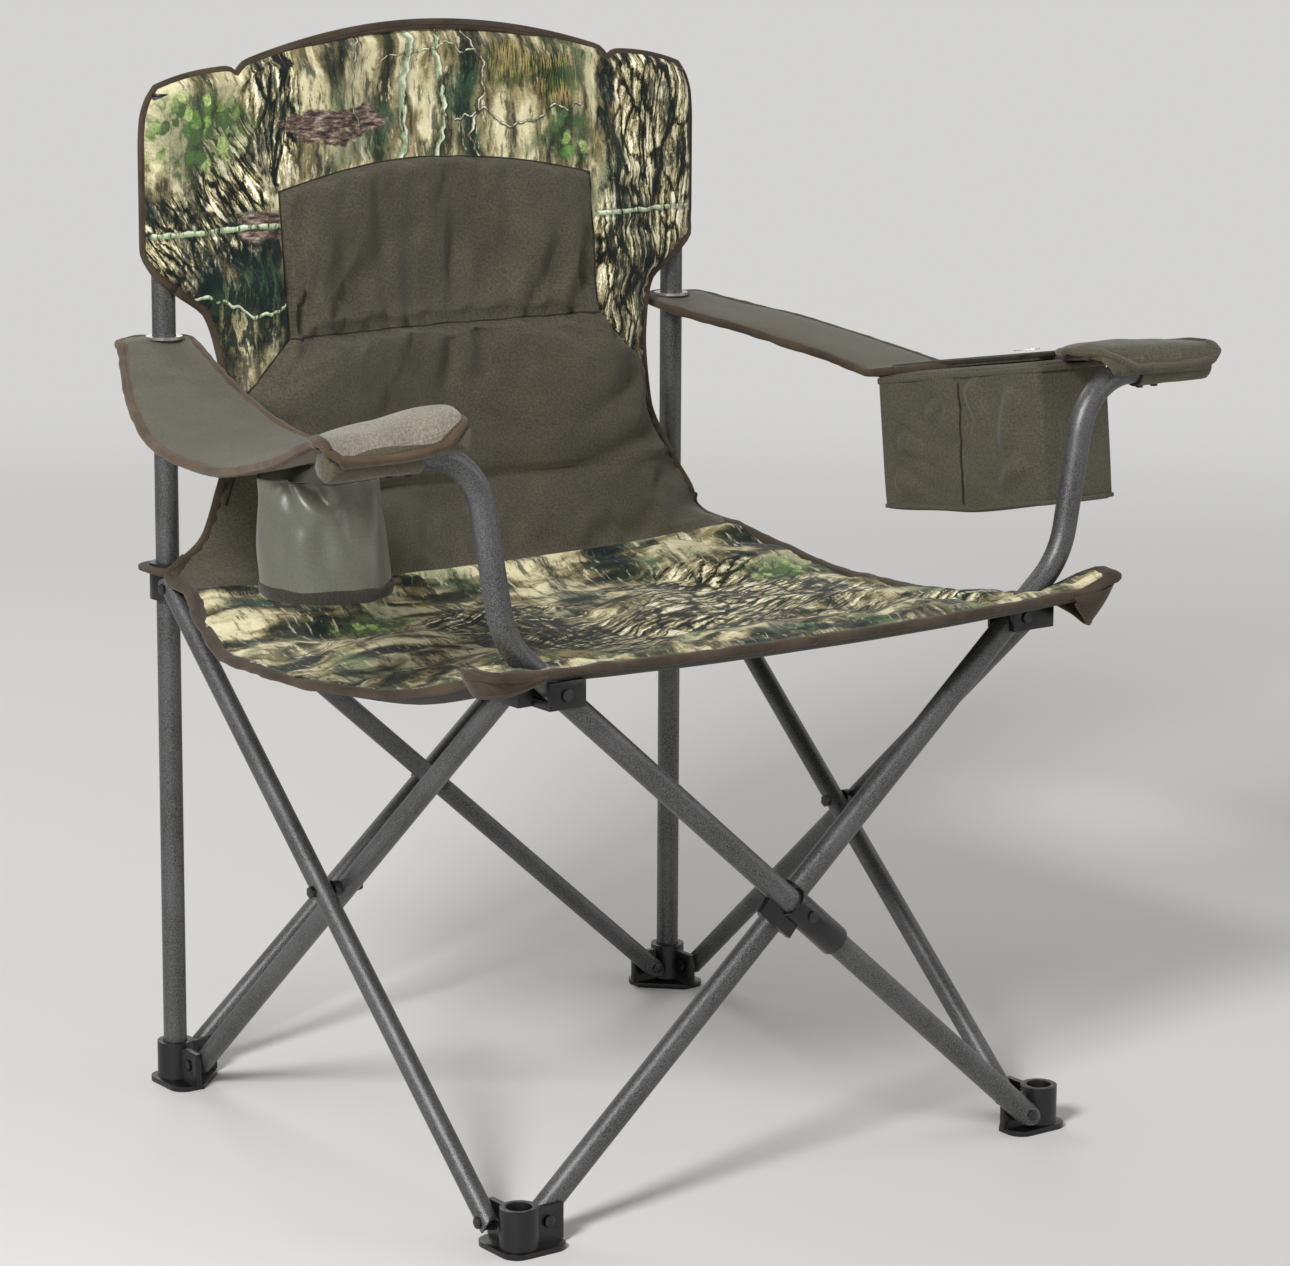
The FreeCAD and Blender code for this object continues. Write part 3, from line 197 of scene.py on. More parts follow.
# ---------------------------------------------------------------- places taken from the frame
HALF = middle_of("rear_post_right").x
REAR_Y = middle_of("rear_post_right").y
ARM_Y = {-1: middle_of("arm_sleeve_left").y, 1: middle_of("arm_sleeve_right").y}
ARM_LEVEL = middle_of("arm_sleeve_right").z
SLEEVE_RADIUS = (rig.box("arm_sleeve_right")[1].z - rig.box("arm_sleeve_right")[0].z) / 2
ARM_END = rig.box("armrest_right")[1].x
CUP_LOW, CUP_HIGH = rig.box("cup_holder")
COOLER_LOW, COOLER_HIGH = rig.box("cooler_body")
LID_LOW, LID_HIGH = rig.box("cooler_lid")
TAB_LEVEL = middle_of("rear_tab_right").z
SIDES = ((-1, "left"), (1, "right"))


# ---------------------------------------------------------------- small sums
def ease(t):
    """A smooth step from 0 to 1."""
    t = np.clip(t, 0, 1)
    return t * t * (3 - 2 * t)


def rounding(distance, radius):
    """The height of a quarter round at a distance from its edge."""
    return np.sqrt(np.clip(1 - (1 - np.clip(distance / radius, 0, 1)) ** 2, 0, 1))


def curve(at, spots):
    """A smooth line through (place, value) spots that never overshoots them."""
    xs, ys = (np.array(c, float) for c in zip(*sorted(spots)))
    steps = np.diff(ys) / np.diff(xs)
    slopes = np.zeros(len(xs))
    for n in range(1, len(xs) - 1):
        if steps[n - 1] * steps[n] > 0:
            slopes[n] = 2 * steps[n - 1] * steps[n] / (steps[n - 1] + steps[n])
    slopes[0], slopes[-1] = steps[0], steps[-1]
    at = np.clip(np.asarray(at, float), xs[0], xs[-1])
    k = np.clip(np.searchsorted(xs, at, "right") - 1, 0, len(xs) - 2)
    wide = xs[k + 1] - xs[k]
    t = (at - xs[k]) / wide
    return (ys[k] * (1 + 2 * t) * (1 - t) ** 2 + ys[k + 1] * t * t * (3 - 2 * t)
            + wide * (slopes[k] * t * (1 - t) ** 2 - slopes[k + 1] * t * t * (1 - t)))


def creases(across, along, rows):
    """How deep the cloth is drawn in by soft folds, each (x0, y0, x1, y1, width, depth) in mm."""
    depth = np.zeros(np.broadcast(across, along).shape)
    for x0, y0, x1, y1, wide, deep in rows:
        ax, ay, bx, by = (n / 1000 for n in (x0, y0, x1, y1))
        run = math.hypot(bx - ax, by - ay)
        ux, uy = (bx - ax) / run, (by - ay) / run
        forward = ((across - ax) * ux + (along - ay) * uy) / run
        sideways = (across - ax) * uy - (along - ay) * ux
        fade = ease((forward + 0.1) / 0.25) * ease((1 - forward) / 0.75)
        depth = depth + deep / 1000 * np.exp(-(sideways * 1000 / wide) ** 2) * fade
    return depth


def ripple(points, scale, seed=0.0):
    """Soft noise at every point of a grid, from -1 to 1."""
    flat = points.reshape(-1, 3)
    out = [noise.noise(Vector((p[0] * scale + seed, p[1] * scale, p[2] * scale - seed)))
           for p in flat]
    return np.array(out).reshape(points.shape[:-1])


def grid_normals(points):
    """The way that a grid of points faces at each of them."""
    down = np.gradient(points, axis=0)
    right = np.gradient(points, axis=1)
    normal = np.cross(down, right)
    return normal / np.maximum(np.linalg.norm(normal, axis=-1, keepdims=True), 1e-12)


# ---------------------------------------------------------------- shader nodes
def paint(red, green, blue):
    """A colour named in display steps of 0 to 255, as the linear value nodes take."""
    def linear(c):
        c /= 255
        return c / 12.92 if c <= 0.04045 else ((c + 0.055) / 1.055) ** 2.4
    return (linear(red), linear(green), linear(blue), 1.0)


def grey(value):
    """An even grey, named as the linear value."""
    return (value,) * 3 + (1.0,)


def darker(tone, share):
    return tuple(c * share for c in tone[:3]) + (1.0,)


class Nodes:
    """Adds nodes to one tree and wires them."""

    def __init__(self, tree):
        self.tree = tree

    def node(self, kind, **settings):
        made = self.tree.nodes.new(kind)
        for key, setting in settings.items():
            setattr(made, key, setting)
        return made

    def put(self, socket, value):
        if isinstance(value, bpy.types.NodeSocket):
            self.tree.links.new(value, socket)
        else:
            socket.default_value = value

    def sum(self, operation, *values, clamp=False):
        made = self.node("ShaderNodeMath", operation=operation, use_clamp=clamp)
        for socket, value in zip(made.inputs, values):
            self.put(socket, value)
        return made.outputs[0]

    def plus(self, one, other, clamp=False):
        return self.sum("ADD", one, other, clamp=clamp)

    def minus(self, one, other):
        return self.sum("SUBTRACT", one, other)

    def times(self, one, other):
        return self.sum("MULTIPLY", one, other)

    def over(self, one, other):
        return self.sum("DIVIDE", one, other)

    def mix(self, share, one, other, way="MIX"):
        made = self.node("ShaderNodeMix", data_type="RGBA", blend_type=way)
        for index, value in ((0, share), (6, one), (7, other)):
            self.put(made.inputs[index], value)
        return made.outputs[2]

    def step(self, value, low, high):
        """0 below low, 1 above high, smooth between; low may be the larger."""
        made = self.node("ShaderNodeMapRange", interpolation_type="SMOOTHSTEP")
        for index, number in ((0, value), (1, low), (2, high), (3, 0.0), (4, 1.0)):
            self.put(made.inputs[index], number)
        return made.outputs[0]

    def noise(self, place, scale, detail=2.0, rough=0.5, twist=0.0):
        made = self.node("ShaderNodeTexNoise")
        for key, value in (("Vector", place), ("Scale", scale), ("Detail", detail),
                           ("Roughness", rough), ("Distortion", twist)):
            self.put(made.inputs[key], value)
        return made.outputs["Fac"]

    def cells(self, place, scale, feature="F1", output="Distance"):
        made = self.node("ShaderNodeTexVoronoi", feature=feature)
        for key, value in (("Vector", place), ("Scale", scale)):
            self.put(made.inputs[key], value)
        return made.outputs[output]

    def ramp(self, value, *stops):
        made = self.node("ShaderNodeValToRGB")
        self.put(made.inputs[0], value)
        band = made.color_ramp
        while len(band.elements) < len(stops):
            band.elements.new(0.5)
        for element, (place, colour) in zip(band.elements, stops):
            element.position = place
            element.color = colour
        return made.outputs[0]

    def map(self, place, scale=(1, 1, 1), turn=0.0, move=(0, 0, 0)):
        made = self.node("ShaderNodeMapping")
        for key, value in (("Vector", place), ("Scale", scale), ("Rotation", (0, 0, turn)),
                           ("Location", move)):
            self.put(made.inputs[key], value)
        return made.outputs[0]

    def split(self, place):
        made = self.node("ShaderNodeSeparateXYZ")
        self.put(made.inputs[0], place)
        return made.outputs

    def join(self, x, y, z=0.0):
        made = self.node("ShaderNodeCombineXYZ")
        for socket, value in zip(made.inputs, (x, y, z)):
            self.put(socket, value)
        return made.outputs[0]

    def use(self, group, **values):
        made = self.node("ShaderNodeGroup")
        made.node_tree = group
        for key, value in values.items():
            self.put(made.inputs[key], value)
        return made.outputs

    def scaled(self, place, by):
        made = self.node("ShaderNodeVectorMath", operation="SCALE")
        self.put(made.inputs[0], place)
        self.put(made.inputs["Scale"], by)
        return made.outputs[0]

    def in_piece(self):
        """A place in the piece's own space."""
        return self.node("ShaderNodeTexCoord").outputs["Object"]

    def on_cloth(self):
        """A place on the laid-out cloth, in metres."""
        return self.node("ShaderNodeUVMap", uv_map="cloth").outputs[0]

    def glow(self, kind, tone, strength):
        made = self.node(kind)
        self.put(made.inputs["Color"], tone)
        self.put(made.inputs["Strength"], strength)
        return made.outputs[0]

    def blend(self, share, one, other):
        made = self.node("ShaderNodeMixShader")
        for socket, value in zip(made.inputs, (share, one, other)):
            self.put(socket, value)
        return made.outputs[0]

    def bump(self, height, strength, distance, under=None):
        made = self.node("ShaderNodeBump")
        for key, value in (("Height", height), ("Strength", strength), ("Distance", distance)):
            self.put(made.inputs[key], value)
        if under is not None:
            self.put(made.inputs["Normal"], under)
        return made.outputs[0]


def group(name, takes, gives):
    """An empty node group with named sockets; returns its Nodes, its inputs and its end node."""
    tree = bpy.data.node_groups.new(name, "ShaderNodeTree")
    kinds = {"v": "NodeSocketVector", "f": "NodeSocketFloat", "c": "NodeSocketColor"}
    for key, kind in takes:
        tree.interface.new_socket(name=key, in_out="INPUT", socket_type=kinds[kind])
    for key, kind in gives:
        tree.interface.new_socket(name=key, in_out="OUTPUT", socket_type=kinds[kind])
    n = Nodes(tree)
    return n, n.node("NodeGroupInput").outputs, n.node("NodeGroupOutput").inputs


def weave_group():
    """Basket-woven threads: how high each place stands, and a tone that is painted shade of the weave (lighter on the
    raised threads, darker in the hollows between them) mixed with random fibre tone.
    """
    n, given, ends = group("weave", [("Place", "v"), ("Pitch", "f")],
                           [("Height", "f"), ("WeaveShadeAndFibre", "f")])
    x, y, _ = n.split(given["Place"])
    u, v = n.over(x, given["Pitch"]), n.over(y, given["Pitch"])
    over = n.sum("MODULO", n.plus(n.sum("FLOOR", u), n.sum("FLOOR", v)), 2.0)
    warp, weft = (n.sum("POWER", n.sum("ABSOLUTE", n.sum("SINE", n.times(k, math.pi))), 0.7)
                  for k in (u, v))
    side = n.step(n.sum("ABSOLUTE", over), 0.4, 0.6)
    lift = n.plus(n.times(warp, side), n.times(weft, n.minus(1.0, side)))
    n.put(ends["Height"], lift)
    fibre = n.noise(given["Place"], 900.0, 2.0, 0.6)
    # painted shade: this tone follows the threads' height, so the weave's hollows come out darker; the fibre noise is
    # random tone
    n.put(ends["WeaveShadeAndFibre"], n.plus(n.times(lift, 0.45), n.times(fibre, 0.7)))
    return n.tree


def speckle_group():
    """Hammered powder coat: fine light and dark flecks over soft clouds."""
    n, given, ends = group("speckle", [("Place", "v"), ("Scale", "f")],
                           [("Fleck", "f"), ("Cloud", "f")])
    fine = n.noise(given["Place"], given["Scale"], 3.0, 0.7)
    n.put(ends["Fleck"], n.step(fine, 0.36, 0.64))
    n.put(ends["Cloud"], n.noise(given["Place"], 14.0, 3.0, 0.55))
    return n.tree


WEAVE, SPECKLE = weave_group(), speckle_group()


def bark_group():
    """Split bark along +y: rough pale ridges between dark cracks."""
    n, given, ends = group("bark", [("Place", "v"), ("Size", "f")],
                           [("Colour", "c")])
    place = n.scaled(given["Place"], given["Size"])
    sway = n.noise(n.map(place, (22, 8, 1)), 1.0, 2.0)
    fray = n.noise(n.map(place, (260, 150, 1)), 1.0, 3.0, 0.7)
    x, y, _ = n.split(place)
    x = n.plus(x, n.times(sway, 0.030))
    x = n.plus(x, n.times(fray, 0.0045))
    y = n.plus(y, n.times(fray, 0.016))
    bent = n.join(x, y)
    plates = n.cells(n.map(bent, (78, 21, 1)), 1.0, "DISTANCE_TO_EDGE")
    strands = n.noise(n.map(bent, (165, 19, 1)), 1.0, 5.0, 0.68)
    fine = n.noise(n.map(bent, (560, 190, 1)), 1.0, 4.0, 0.75)
    face = n.plus(n.times(strands, 0.85), n.times(fine, 0.34))
    face = n.plus(face, n.times(n.step(plates, 0.0, 0.11), 0.13))
    tone = n.ramp(face, (0.59, paint(17, 28, 27)), (0.65, paint(64, 62, 48)),
                  (0.70, paint(128, 120, 92)), (0.76, paint(204, 197, 164)),
                  (0.84, paint(248, 244, 224)))
    n.put(ends["Colour"], tone)
    return n.tree


BARK = bark_group()


def leaf_group():
    """Leafy twigs: bright blades over dark green gaps."""
    n, given, ends = group("leaves", [("Place", "v")], [("Colour", "c"), ("Leaf", "f")])
    place = n.map(given["Place"], (1, 0.75, 1), 0.5)
    x, y, _ = n.split(place)
    bend = n.noise(place, 46.0, 3.0, 0.6)
    ragged = n.noise(place, 210.0, 3.0, 0.7)
    x = n.plus(x, n.times(bend, 0.022))
    x = n.plus(x, n.times(ragged, 0.007))
    y = n.plus(y, n.times(ragged, 0.009))
    spot = n.join(x, y)
    edge = n.cells(spot, 96.0)
    pick = n.split(n.cells(spot, 96.0, "F1", "Color"))[0]
    green = n.ramp(pick, (0.05, paint(30, 52, 34)), (0.40, paint(74, 116, 48)),
                   (0.62, paint(132, 170, 76)), (0.88, paint(206, 222, 150)))
    shaded = n.mix(n.times(n.step(ragged, 0.40, 0.62), 0.55), green, paint(36, 58, 36))
    inside = n.step(edge, 0.66, 0.40)
    n.put(ends["Colour"], n.mix(inside, paint(20, 34, 28), shaded))
    n.put(ends["Leaf"], inside)
    return n.tree


LEAVES = leaf_group()


def twig_group():
    """One thin crooked branch: how far across it a place is, and where it starts and stops."""
    n, given, ends = group("twig", [("Across", "f"), ("Along", "f"), ("Start", "f"), ("From", "f"),
                                    ("Until", "f"), ("Bend", "f"), ("Width", "f")],
                           [("Wood", "f"), ("Shadow", "f"), ("Lit", "f")])
    seed = n.times(given["Start"], 40.0)
    sway = n.noise(n.join(n.times(given["Along"], 9.0), seed), 1.0, 4.0, 0.62)
    knots = n.noise(n.join(n.times(given["Along"], 140.0), seed), 1.0, 2.0)
    wide = n.times(given["Width"], n.plus(0.35, knots))
    off = n.minus(n.minus(given["Across"], given["Start"]),
                  n.times(n.minus(sway, 0.5), given["Bend"]))
    gone = n.over(n.sum("ABSOLUTE", off), wide)
    within = n.times(n.sum("GREATER_THAN", given["Along"], given["From"]),
                     n.sum("LESS_THAN", given["Along"], given["Until"]))
    n.put(ends["Wood"], n.times(n.step(gone, 1.2, 0.7), within))
    n.put(ends["Shadow"], n.times(n.step(gone, 2.4, 0.9), within))
    n.put(ends["Lit"], n.step(n.over(off, wide), -0.8, 0.9))
    return n.tree


TWIG = twig_group()


DARKEN, BRIGHTEN = 1.25, 1.56


def woodland_group():
    """A generic woodland print: soft far trees, bark, shadows, leaves, needles and twigs."""
    n, given, ends = group("woodland_print", [("Place", "v")], [("Colour", "c")])
    place = given["Place"]
    wander = n.noise(place, 13.0, 4.0, 0.6)
    x, y, _ = n.split(place)
    drift = n.minus(wander, 0.5)
    xw = n.plus(x, n.times(drift, 0.034))
    yw = n.plus(y, n.times(drift, 0.040))
    broken = n.noise(place, 85.0, 4.0, 0.65)
    on_seat = n.step(y, 0.500, 0.470)

    def spot(cx, cy, rx, ry, soft=0.35):
        """An oval patch with a broken edge."""
        dx = n.over(n.minus(xw, cx), rx)
        dy = n.over(n.minus(yw, cy), ry)
        away = n.sum("SQRT", n.plus(n.times(dx, dx), n.times(dy, dy)))
        away = n.plus(away, n.times(n.minus(broken, 0.5), 0.9))
        return n.step(away, 1.0 + soft, 1.0 - soft)

    def several(*masks):
        total = masks[0]
        for mask in masks[1:]:
            total = n.sum("MAXIMUM", total, mask)
        return total

    def patches(*ovals):
        return several(*(spot(*oval) for oval in ovals))

    def share(mask, amount):
        return n.times(mask, amount)

    # soft far trunks, out of focus
    across = n.mix(on_seat, n.map(n.join(xw, yw), (30, 7, 1)), n.map(n.join(xw, yw), (11, 34, 1)))
    far = n.noise(across, 1.0, 3.0, 0.55)
    colour = n.ramp(far, (0.36, paint(26, 40, 38)), (0.43, paint(66, 68, 52)),
                    (0.50, paint(142, 132, 102)), (0.58, paint(206, 198, 166)))
    haze = n.step(n.noise(place, 15.0, 2.0), 0.50, 0.66)
    colour = n.mix(share(haze, 0.55), colour, paint(84, 112, 88))
    grain = n.noise(n.map(place, (150, 34, 1)), 1.0, 4.0, 0.7)
    colour = n.mix(share(n.step(grain, 0.54, 0.66), 0.7), colour, paint(46, 48, 38))
    colour = n.mix(share(n.step(grain, 0.45, 0.35), 0.6), colour, paint(222, 216, 190))

    # upright bark on the back, and long leaning strands on the seat
    upright = n.use(BARK, Place=n.join(x, y), Size=1.0)
    leaning = n.use(BARK, Place=n.map(place, (1, 1, 1), -0.62), Size=1.25)
    lying = n.use(BARK, Place=n.map(place, (1, 1, 1), 1.15), Size=1.0)
    trunk = patches((0.262, 0.88, 0.050, 0.19, 0.12), (-0.178, 0.935, 0.026, 0.09, 0.18),
                    (0.205, 0.74, 0.030, 0.10, 0.2))
    colour = n.mix(trunk, colour, upright["Colour"])
    fallen = patches((-0.228, 0.855, 0.038, 0.070, 0.2), (-0.285, 0.80, 0.028, 0.05, 0.2))
    colour = n.mix(fallen, colour, leaning["Colour"])
    roots = patches((0.20, 0.285, 0.115, 0.115, 0.15), (0.02, 0.215, 0.12, 0.07, 0.2),
                    (-0.06, 0.34, 0.09, 0.03, 0.3), (0.27, 0.10, 0.12, 0.06, 0.2),
                    (-0.14, 0.08, 0.08, 0.026, 0.3))
    colour = n.mix(n.times(roots, on_seat), colour, lying["Colour"])

    # deep blue-green shadow between them
    deep = n.step(n.noise(n.map(n.join(x, y), (24, 9, 1)), 1.0, 4.0, 0.6), 0.50, 0.57)
    dark = patches((0.205, 0.86, 0.012, 0.16, 0.25), (-0.205, 0.80, 0.045, 0.03, 0.3),
                   (-0.07, 0.26, 0.07, 0.09, 0.3), (-0.224, 0.736, 0.074, 0.046, 0.3),
                   (0.09, 0.125, 0.13, 0.035, 0.4))
    shade = n.times(several(share(deep, 0.85), dark), n.step(grain, 0.62, 0.46))
    colour = n.mix(share(shade, 0.94), colour, paint(18, 36, 36))

    # a red-brown log, orange needles, and leaves
    scaly = n.noise(n.map(place, (70, 230, 1), 0.25), 1.0, 5.0, 0.66)
    log = patches((-0.108, 0.903, 0.062, 0.017, 0.10), (-0.19, 0.815, 0.032, 0.014, 0.2))
    rough = n.ramp(scaly, (0.36, paint(44, 38, 36)), (0.48, paint(98, 84, 78)),
                   (0.58, paint(146, 130, 120)), (0.70, paint(196, 184, 170)))
    colour = n.mix(log, colour, rough)
    rays = n.noise(n.map(place, (760, 40, 1), -0.8), 1.0, 2.0, 0.5)
    cross_rays = n.noise(n.map(place, (760, 40, 1), 0.7), 1.0, 2.0, 0.5)
    tufts = patches((0.088, 0.948, 0.032, 0.022, 0.5), (0.142, 0.936, 0.028, 0.030, 0.5),
                    (-0.20, 0.045, 0.05, 0.024, 0.4), (0.16, 0.09, 0.05, 0.02, 0.4))
    blades = several(n.step(rays, 0.53, 0.57), n.step(cross_rays, 0.55, 0.59))
    straw = n.ramp(n.noise(place, 40.0, 2.0), (0.42, paint(96, 104, 58)),
                   (0.52, paint(160, 150, 96)), (0.62, paint(164, 140, 104)))
    colour = n.mix(share(tufts, 0.35), colour, paint(46, 52, 34))
    colour = n.mix(n.times(tufts, blades), colour, straw)
    leafy = patches((-0.262, 0.905, 0.054, 0.034, 0.35), (0.158, 0.885, 0.026, 0.022, 0.4),
                    (-0.02, 0.105, 0.04, 0.018, 0.4), (-0.17, 0.37, 0.04, 0.018, 0.4),
                    (0.29, 0.36, 0.03, 0.02, 0.4))
    leaf = n.use(LEAVES, Place=place)
    colour = n.mix(n.times(leafy, n.plus(leaf["Leaf"], 0.55, clamp=True)), colour,
                   n.mix(0.42, leaf["Colour"], paint(118, 136, 100)))

    pale, grey, brown = paint(138, 158, 128), paint(122, 124, 102), paint(66, 54, 46)
    branches = [
        # across it, along it, where, from, until, bend, width, colour
        (y, x, 0.812, -0.32, -0.17, 0.020, 0.0030, pale), (y, x, 0.806, 0.18, 0.30, 0.024, 0.0026, pale),
        (y, x, 0.745, -0.28, -0.17, 0.090, 0.0018, pale), (x, y, -0.030, 0.85, 1.0, 0.090, 0.0046, pale),
        (x, y, 0.010, 0.85, 1.0, 0.090, 0.0030, pale), (x, y, 0.052, 0.84, 1.0, 0.110, 0.0022, brown),
        (x, y, -0.085, 0.90, 1.0, 0.110, 0.0012, grey), (y, x, 0.905, 0.03, 0.17, 0.110, 0.0014, brown),
        (y, x, 0.958, -0.06, 0.06, 0.120, 0.0010, grey), (y, x, 0.150, -0.34, 0.06, 0.090, 0.0028, pale),
        (y, x, 0.300, -0.30, 0.02, 0.090, 0.0022, grey), (y, x, 0.050, 0.00, 0.34, 0.070, 0.0026, pale),
    ]
    for side, along, start, low, high, bend, width, tone in branches:
        twig = n.use(TWIG, Across=side, Along=along, Start=start, From=low, Until=high, Bend=bend,
                     Width=width)
        colour = n.mix(share(twig["Shadow"], 0.55), colour, paint(34, 40, 34))
        lit = n.mix(n.times(twig["Lit"], n.step(grain, 0.62, 0.42)), tone, paint(222, 226, 204))
        colour = n.mix(n.times(twig["Wood"], n.step(grain, 0.62, 0.50)), colour, lit)
    # deeper darks and cleaner lights
    punch = n.node("ShaderNodeGamma")
    n.put(punch.inputs["Color"], colour)
    n.put(punch.inputs["Gamma"], DARKEN)
    n.put(ends["Colour"], n.scaled(punch.outputs[0], BRIGHTEN))
    return n.tree


WOODLAND = woodland_group()


def material(name, build):
    """A new material whose shader build fills in."""
    made = bpy.data.materials.new(name)
    made.use_nodes = True
    made.node_tree.nodes.clear()
    n = Nodes(made.node_tree)
    shader = n.node("ShaderNodeBsdfPrincipled")
    n.put(n.node("ShaderNodeOutputMaterial").inputs[0], shader.outputs[0])
    build(n, shader.inputs)
    return made


def cloth(name, tone, pitch=0.0011, rough=0.86, sheen=0.12, relief=0.5, worn=0.16, spread=0.5,
          gloss=0.25):
    """Woven polyester: tone is a colour, or a function that builds one from the UV place."""
    def build(n, s):
        place = n.on_cloth()
        thread = n.use(WEAVE, Place=place, Pitch=pitch)
        base = tone(n, place) if callable(tone) else tone
        cloud = n.noise(place, 26.0, 4.0, 0.6)
        faded = n.mix(n.times(n.step(cloud, 0.35, 0.75), worn), base,
                      (1.0, 0.98, 0.90, 1.0), "SOFT_LIGHT")
        # painted shade of the weave: raised threads lighter, hollows darker, laid over the base colour with random
        # fibre tone
        light = n.mix(n.step(thread["WeaveShadeAndFibre"], 0.25, 0.95), grey(0.5 - spread / 2),
                      grey(0.5 + spread / 2))
        slub = n.noise(n.map(place, (430, 430, 1)), 1.0, 2.0, 0.6)
        grain = n.mix(n.step(slub, 0.34, 0.66), grey(0.5 - spread * 0.22),
                      grey(0.5 + spread * 0.22))
        n.put(s["Base Color"], n.mix(1.0, n.mix(0.8, faded, light, "OVERLAY"), grain, "OVERLAY"))
        n.put(s["Roughness"], rough)
        n.put(s["Sheen Weight"], sheen)
        n.put(s["Sheen Roughness"], 0.5)
        n.put(s["Specular IOR Level"], gloss)
        under = n.bump(n.noise(place, 70.0, 4.0, 0.6), 0.25, 0.0015)
        n.put(s["Normal"], n.bump(thread["Height"], relief, 0.00022, under))
    return material(name, build)


def tube_paint():
    """Hammered grey powder coat."""
    def build(n, s):
        place = n.in_piece()
        marks = n.use(SPECKLE, Place=place, Scale=820.0)
        tone = n.mix(marks["Fleck"], paint(52, 52, 53), paint(108, 108, 108))
        tone = n.mix(n.times(n.step(marks["Cloud"], 0.35, 0.7), 0.25), tone, paint(126, 127, 128))
        n.put(s["Base Color"], tone)
        n.put(s["Metallic"], 0.55)
        n.put(s["Roughness"], n.plus(n.times(marks["Fleck"], 0.10), 0.34))
        n.put(s["Normal"], n.bump(marks["Fleck"], 0.18, 0.0003))
    return material("hammered_grey", build)


def moulded_black():
    """Black plastic with a fine grain and lighter scuffs."""
    def build(n, s):
        place = n.in_piece()
        grain = n.noise(place, 900.0, 3.0, 0.6)
        scuff = n.step(n.noise(n.map(place, (40, 40, 160)), 1.0, 4.0, 0.7), 0.60, 0.72)
        n.put(s["Base Color"], n.mix(n.times(scuff, 0.35), paint(14, 14, 16), paint(40, 40, 42)))
        n.put(s["Roughness"], n.plus(n.times(scuff, 0.2), 0.34))
        n.put(s["Normal"], n.bump(grain, 0.12, 0.0004))
        n.put(s["Specular IOR Level"], 0.5)
    return material("moulded_black_grain", build)


def bright_metal(name, tone, rough):
    """Bare or blackened metal with small dark marks."""
    def build(n, s):
        place = n.in_piece()
        marks = n.noise(place, 300.0, 4.0, 0.7)
        n.put(s["Base Color"], n.mix(n.step(marks, 0.4, 0.7), tone,
                                     darker(tone, 0.6)))
        n.put(s["Metallic"], 0.9)
        n.put(s["Roughness"], n.plus(n.times(marks, 0.2), rough))
        n.put(s["Normal"], n.bump(marks, 0.15, 0.0002))
    return material(name, build)


def tape(name, tone, edge):
    """Grosgrain binding: cross ribs, and a row of stitches near its inner edge."""
    def build(n, s):
        place = n.on_cloth()
        u, v, _ = n.split(place)
        rib = n.sum("ABSOLUTE", n.sum("SINE", n.times(v, math.pi / 0.0012)))
        dash = n.step(n.sum("FRACT", n.over(v, 0.0042)), 0.26, 0.34)
        row = n.step(n.sum("ABSOLUTE", n.minus(n.sum("ABSOLUTE", u), 0.0062)), 0.0008, 0.0004)
        stitch = n.times(dash, row)
        cloud = n.noise(n.map(place, (60, 18, 1)), 1.0, 4.0, 0.65)
        fibre = n.noise(place, 1400.0, 2.0, 0.6)
        body = n.mix(n.step(cloud, 0.35, 0.68), tone, edge)
        body = n.mix(n.times(n.step(fibre, 0.4, 0.7), 0.35), body, edge)
        n.put(s["Base Color"], n.mix(n.times(stitch, 0.7), body,
                                     darker(tone, 0.35)))
        n.put(s["Roughness"], 0.85)
        n.put(s["Sheen Weight"], 0.12)
        n.put(s["Specular IOR Level"], 0.25)
        lift = n.minus(n.times(rib, 0.5), n.times(stitch, 1.5))
        n.put(s["Normal"], n.bump(lift, 0.5, 0.0004))
    return material(name, build)


M = {
    "woodland": cloth("woodland_cloth", lambda n, p: n.use(WOODLAND, Place=p)["Colour"],
                      worn=0.10, spread=0.34, relief=0.35),
    "brown": cloth("brown_canvas", paint(76, 72, 60), relief=0.6, worn=0.25, sheen=0.2),
    "under": cloth("under_lining", paint(48, 46, 40), relief=0.4, worn=0.1),
    "olive": cloth("olive_canvas", paint(78, 73, 59), relief=0.5, worn=0.2, sheen=0.2),
    "olive_top": cloth("olive_brown_top", paint(79, 76, 61), relief=0.5, worn=0.3, sheen=0.2),
    "pad_top": cloth("pale_pad_top", paint(126, 119, 107), relief=0.5, worn=0.35, sheen=0.3),
    "cooler": cloth("cooler_canvas", paint(79, 76, 63), relief=0.45, worn=0.2, sheen=0.15),
    "satin": cloth("olive_satin_lining", paint(88, 89, 78), pitch=0.0007, rough=0.38, sheen=0.05,
                   relief=0.10, worn=0.15, spread=0.2, gloss=0.72),
    "binding": tape("dark_brown_binding", paint(58, 49, 40), paint(84, 71, 56)),
    "tan_binding": tape("tan_binding", paint(74, 60, 45), paint(100, 82, 62)),
    # thin dark tape: along the brown panel's seams it is painted shadow in the seam grooves; on the cooler it draws the
    # line down each sunk side seam and round the lid's rim
    "thread": tape("dark_tape_and_painted_seam_shadow", paint(38, 34, 28), paint(54, 48, 38)),
    "tube": tube_paint(),
    "black": moulded_black(),
    "rivet": bright_metal("rivet_steel_worn", paint(74, 74, 76), 0.28),
    "eyelet": bright_metal("eyelet_nickel", paint(206, 204, 198), 0.24),
    "dark_metal": bright_metal("eyelet_dark", paint(70, 70, 72), 0.35),
}


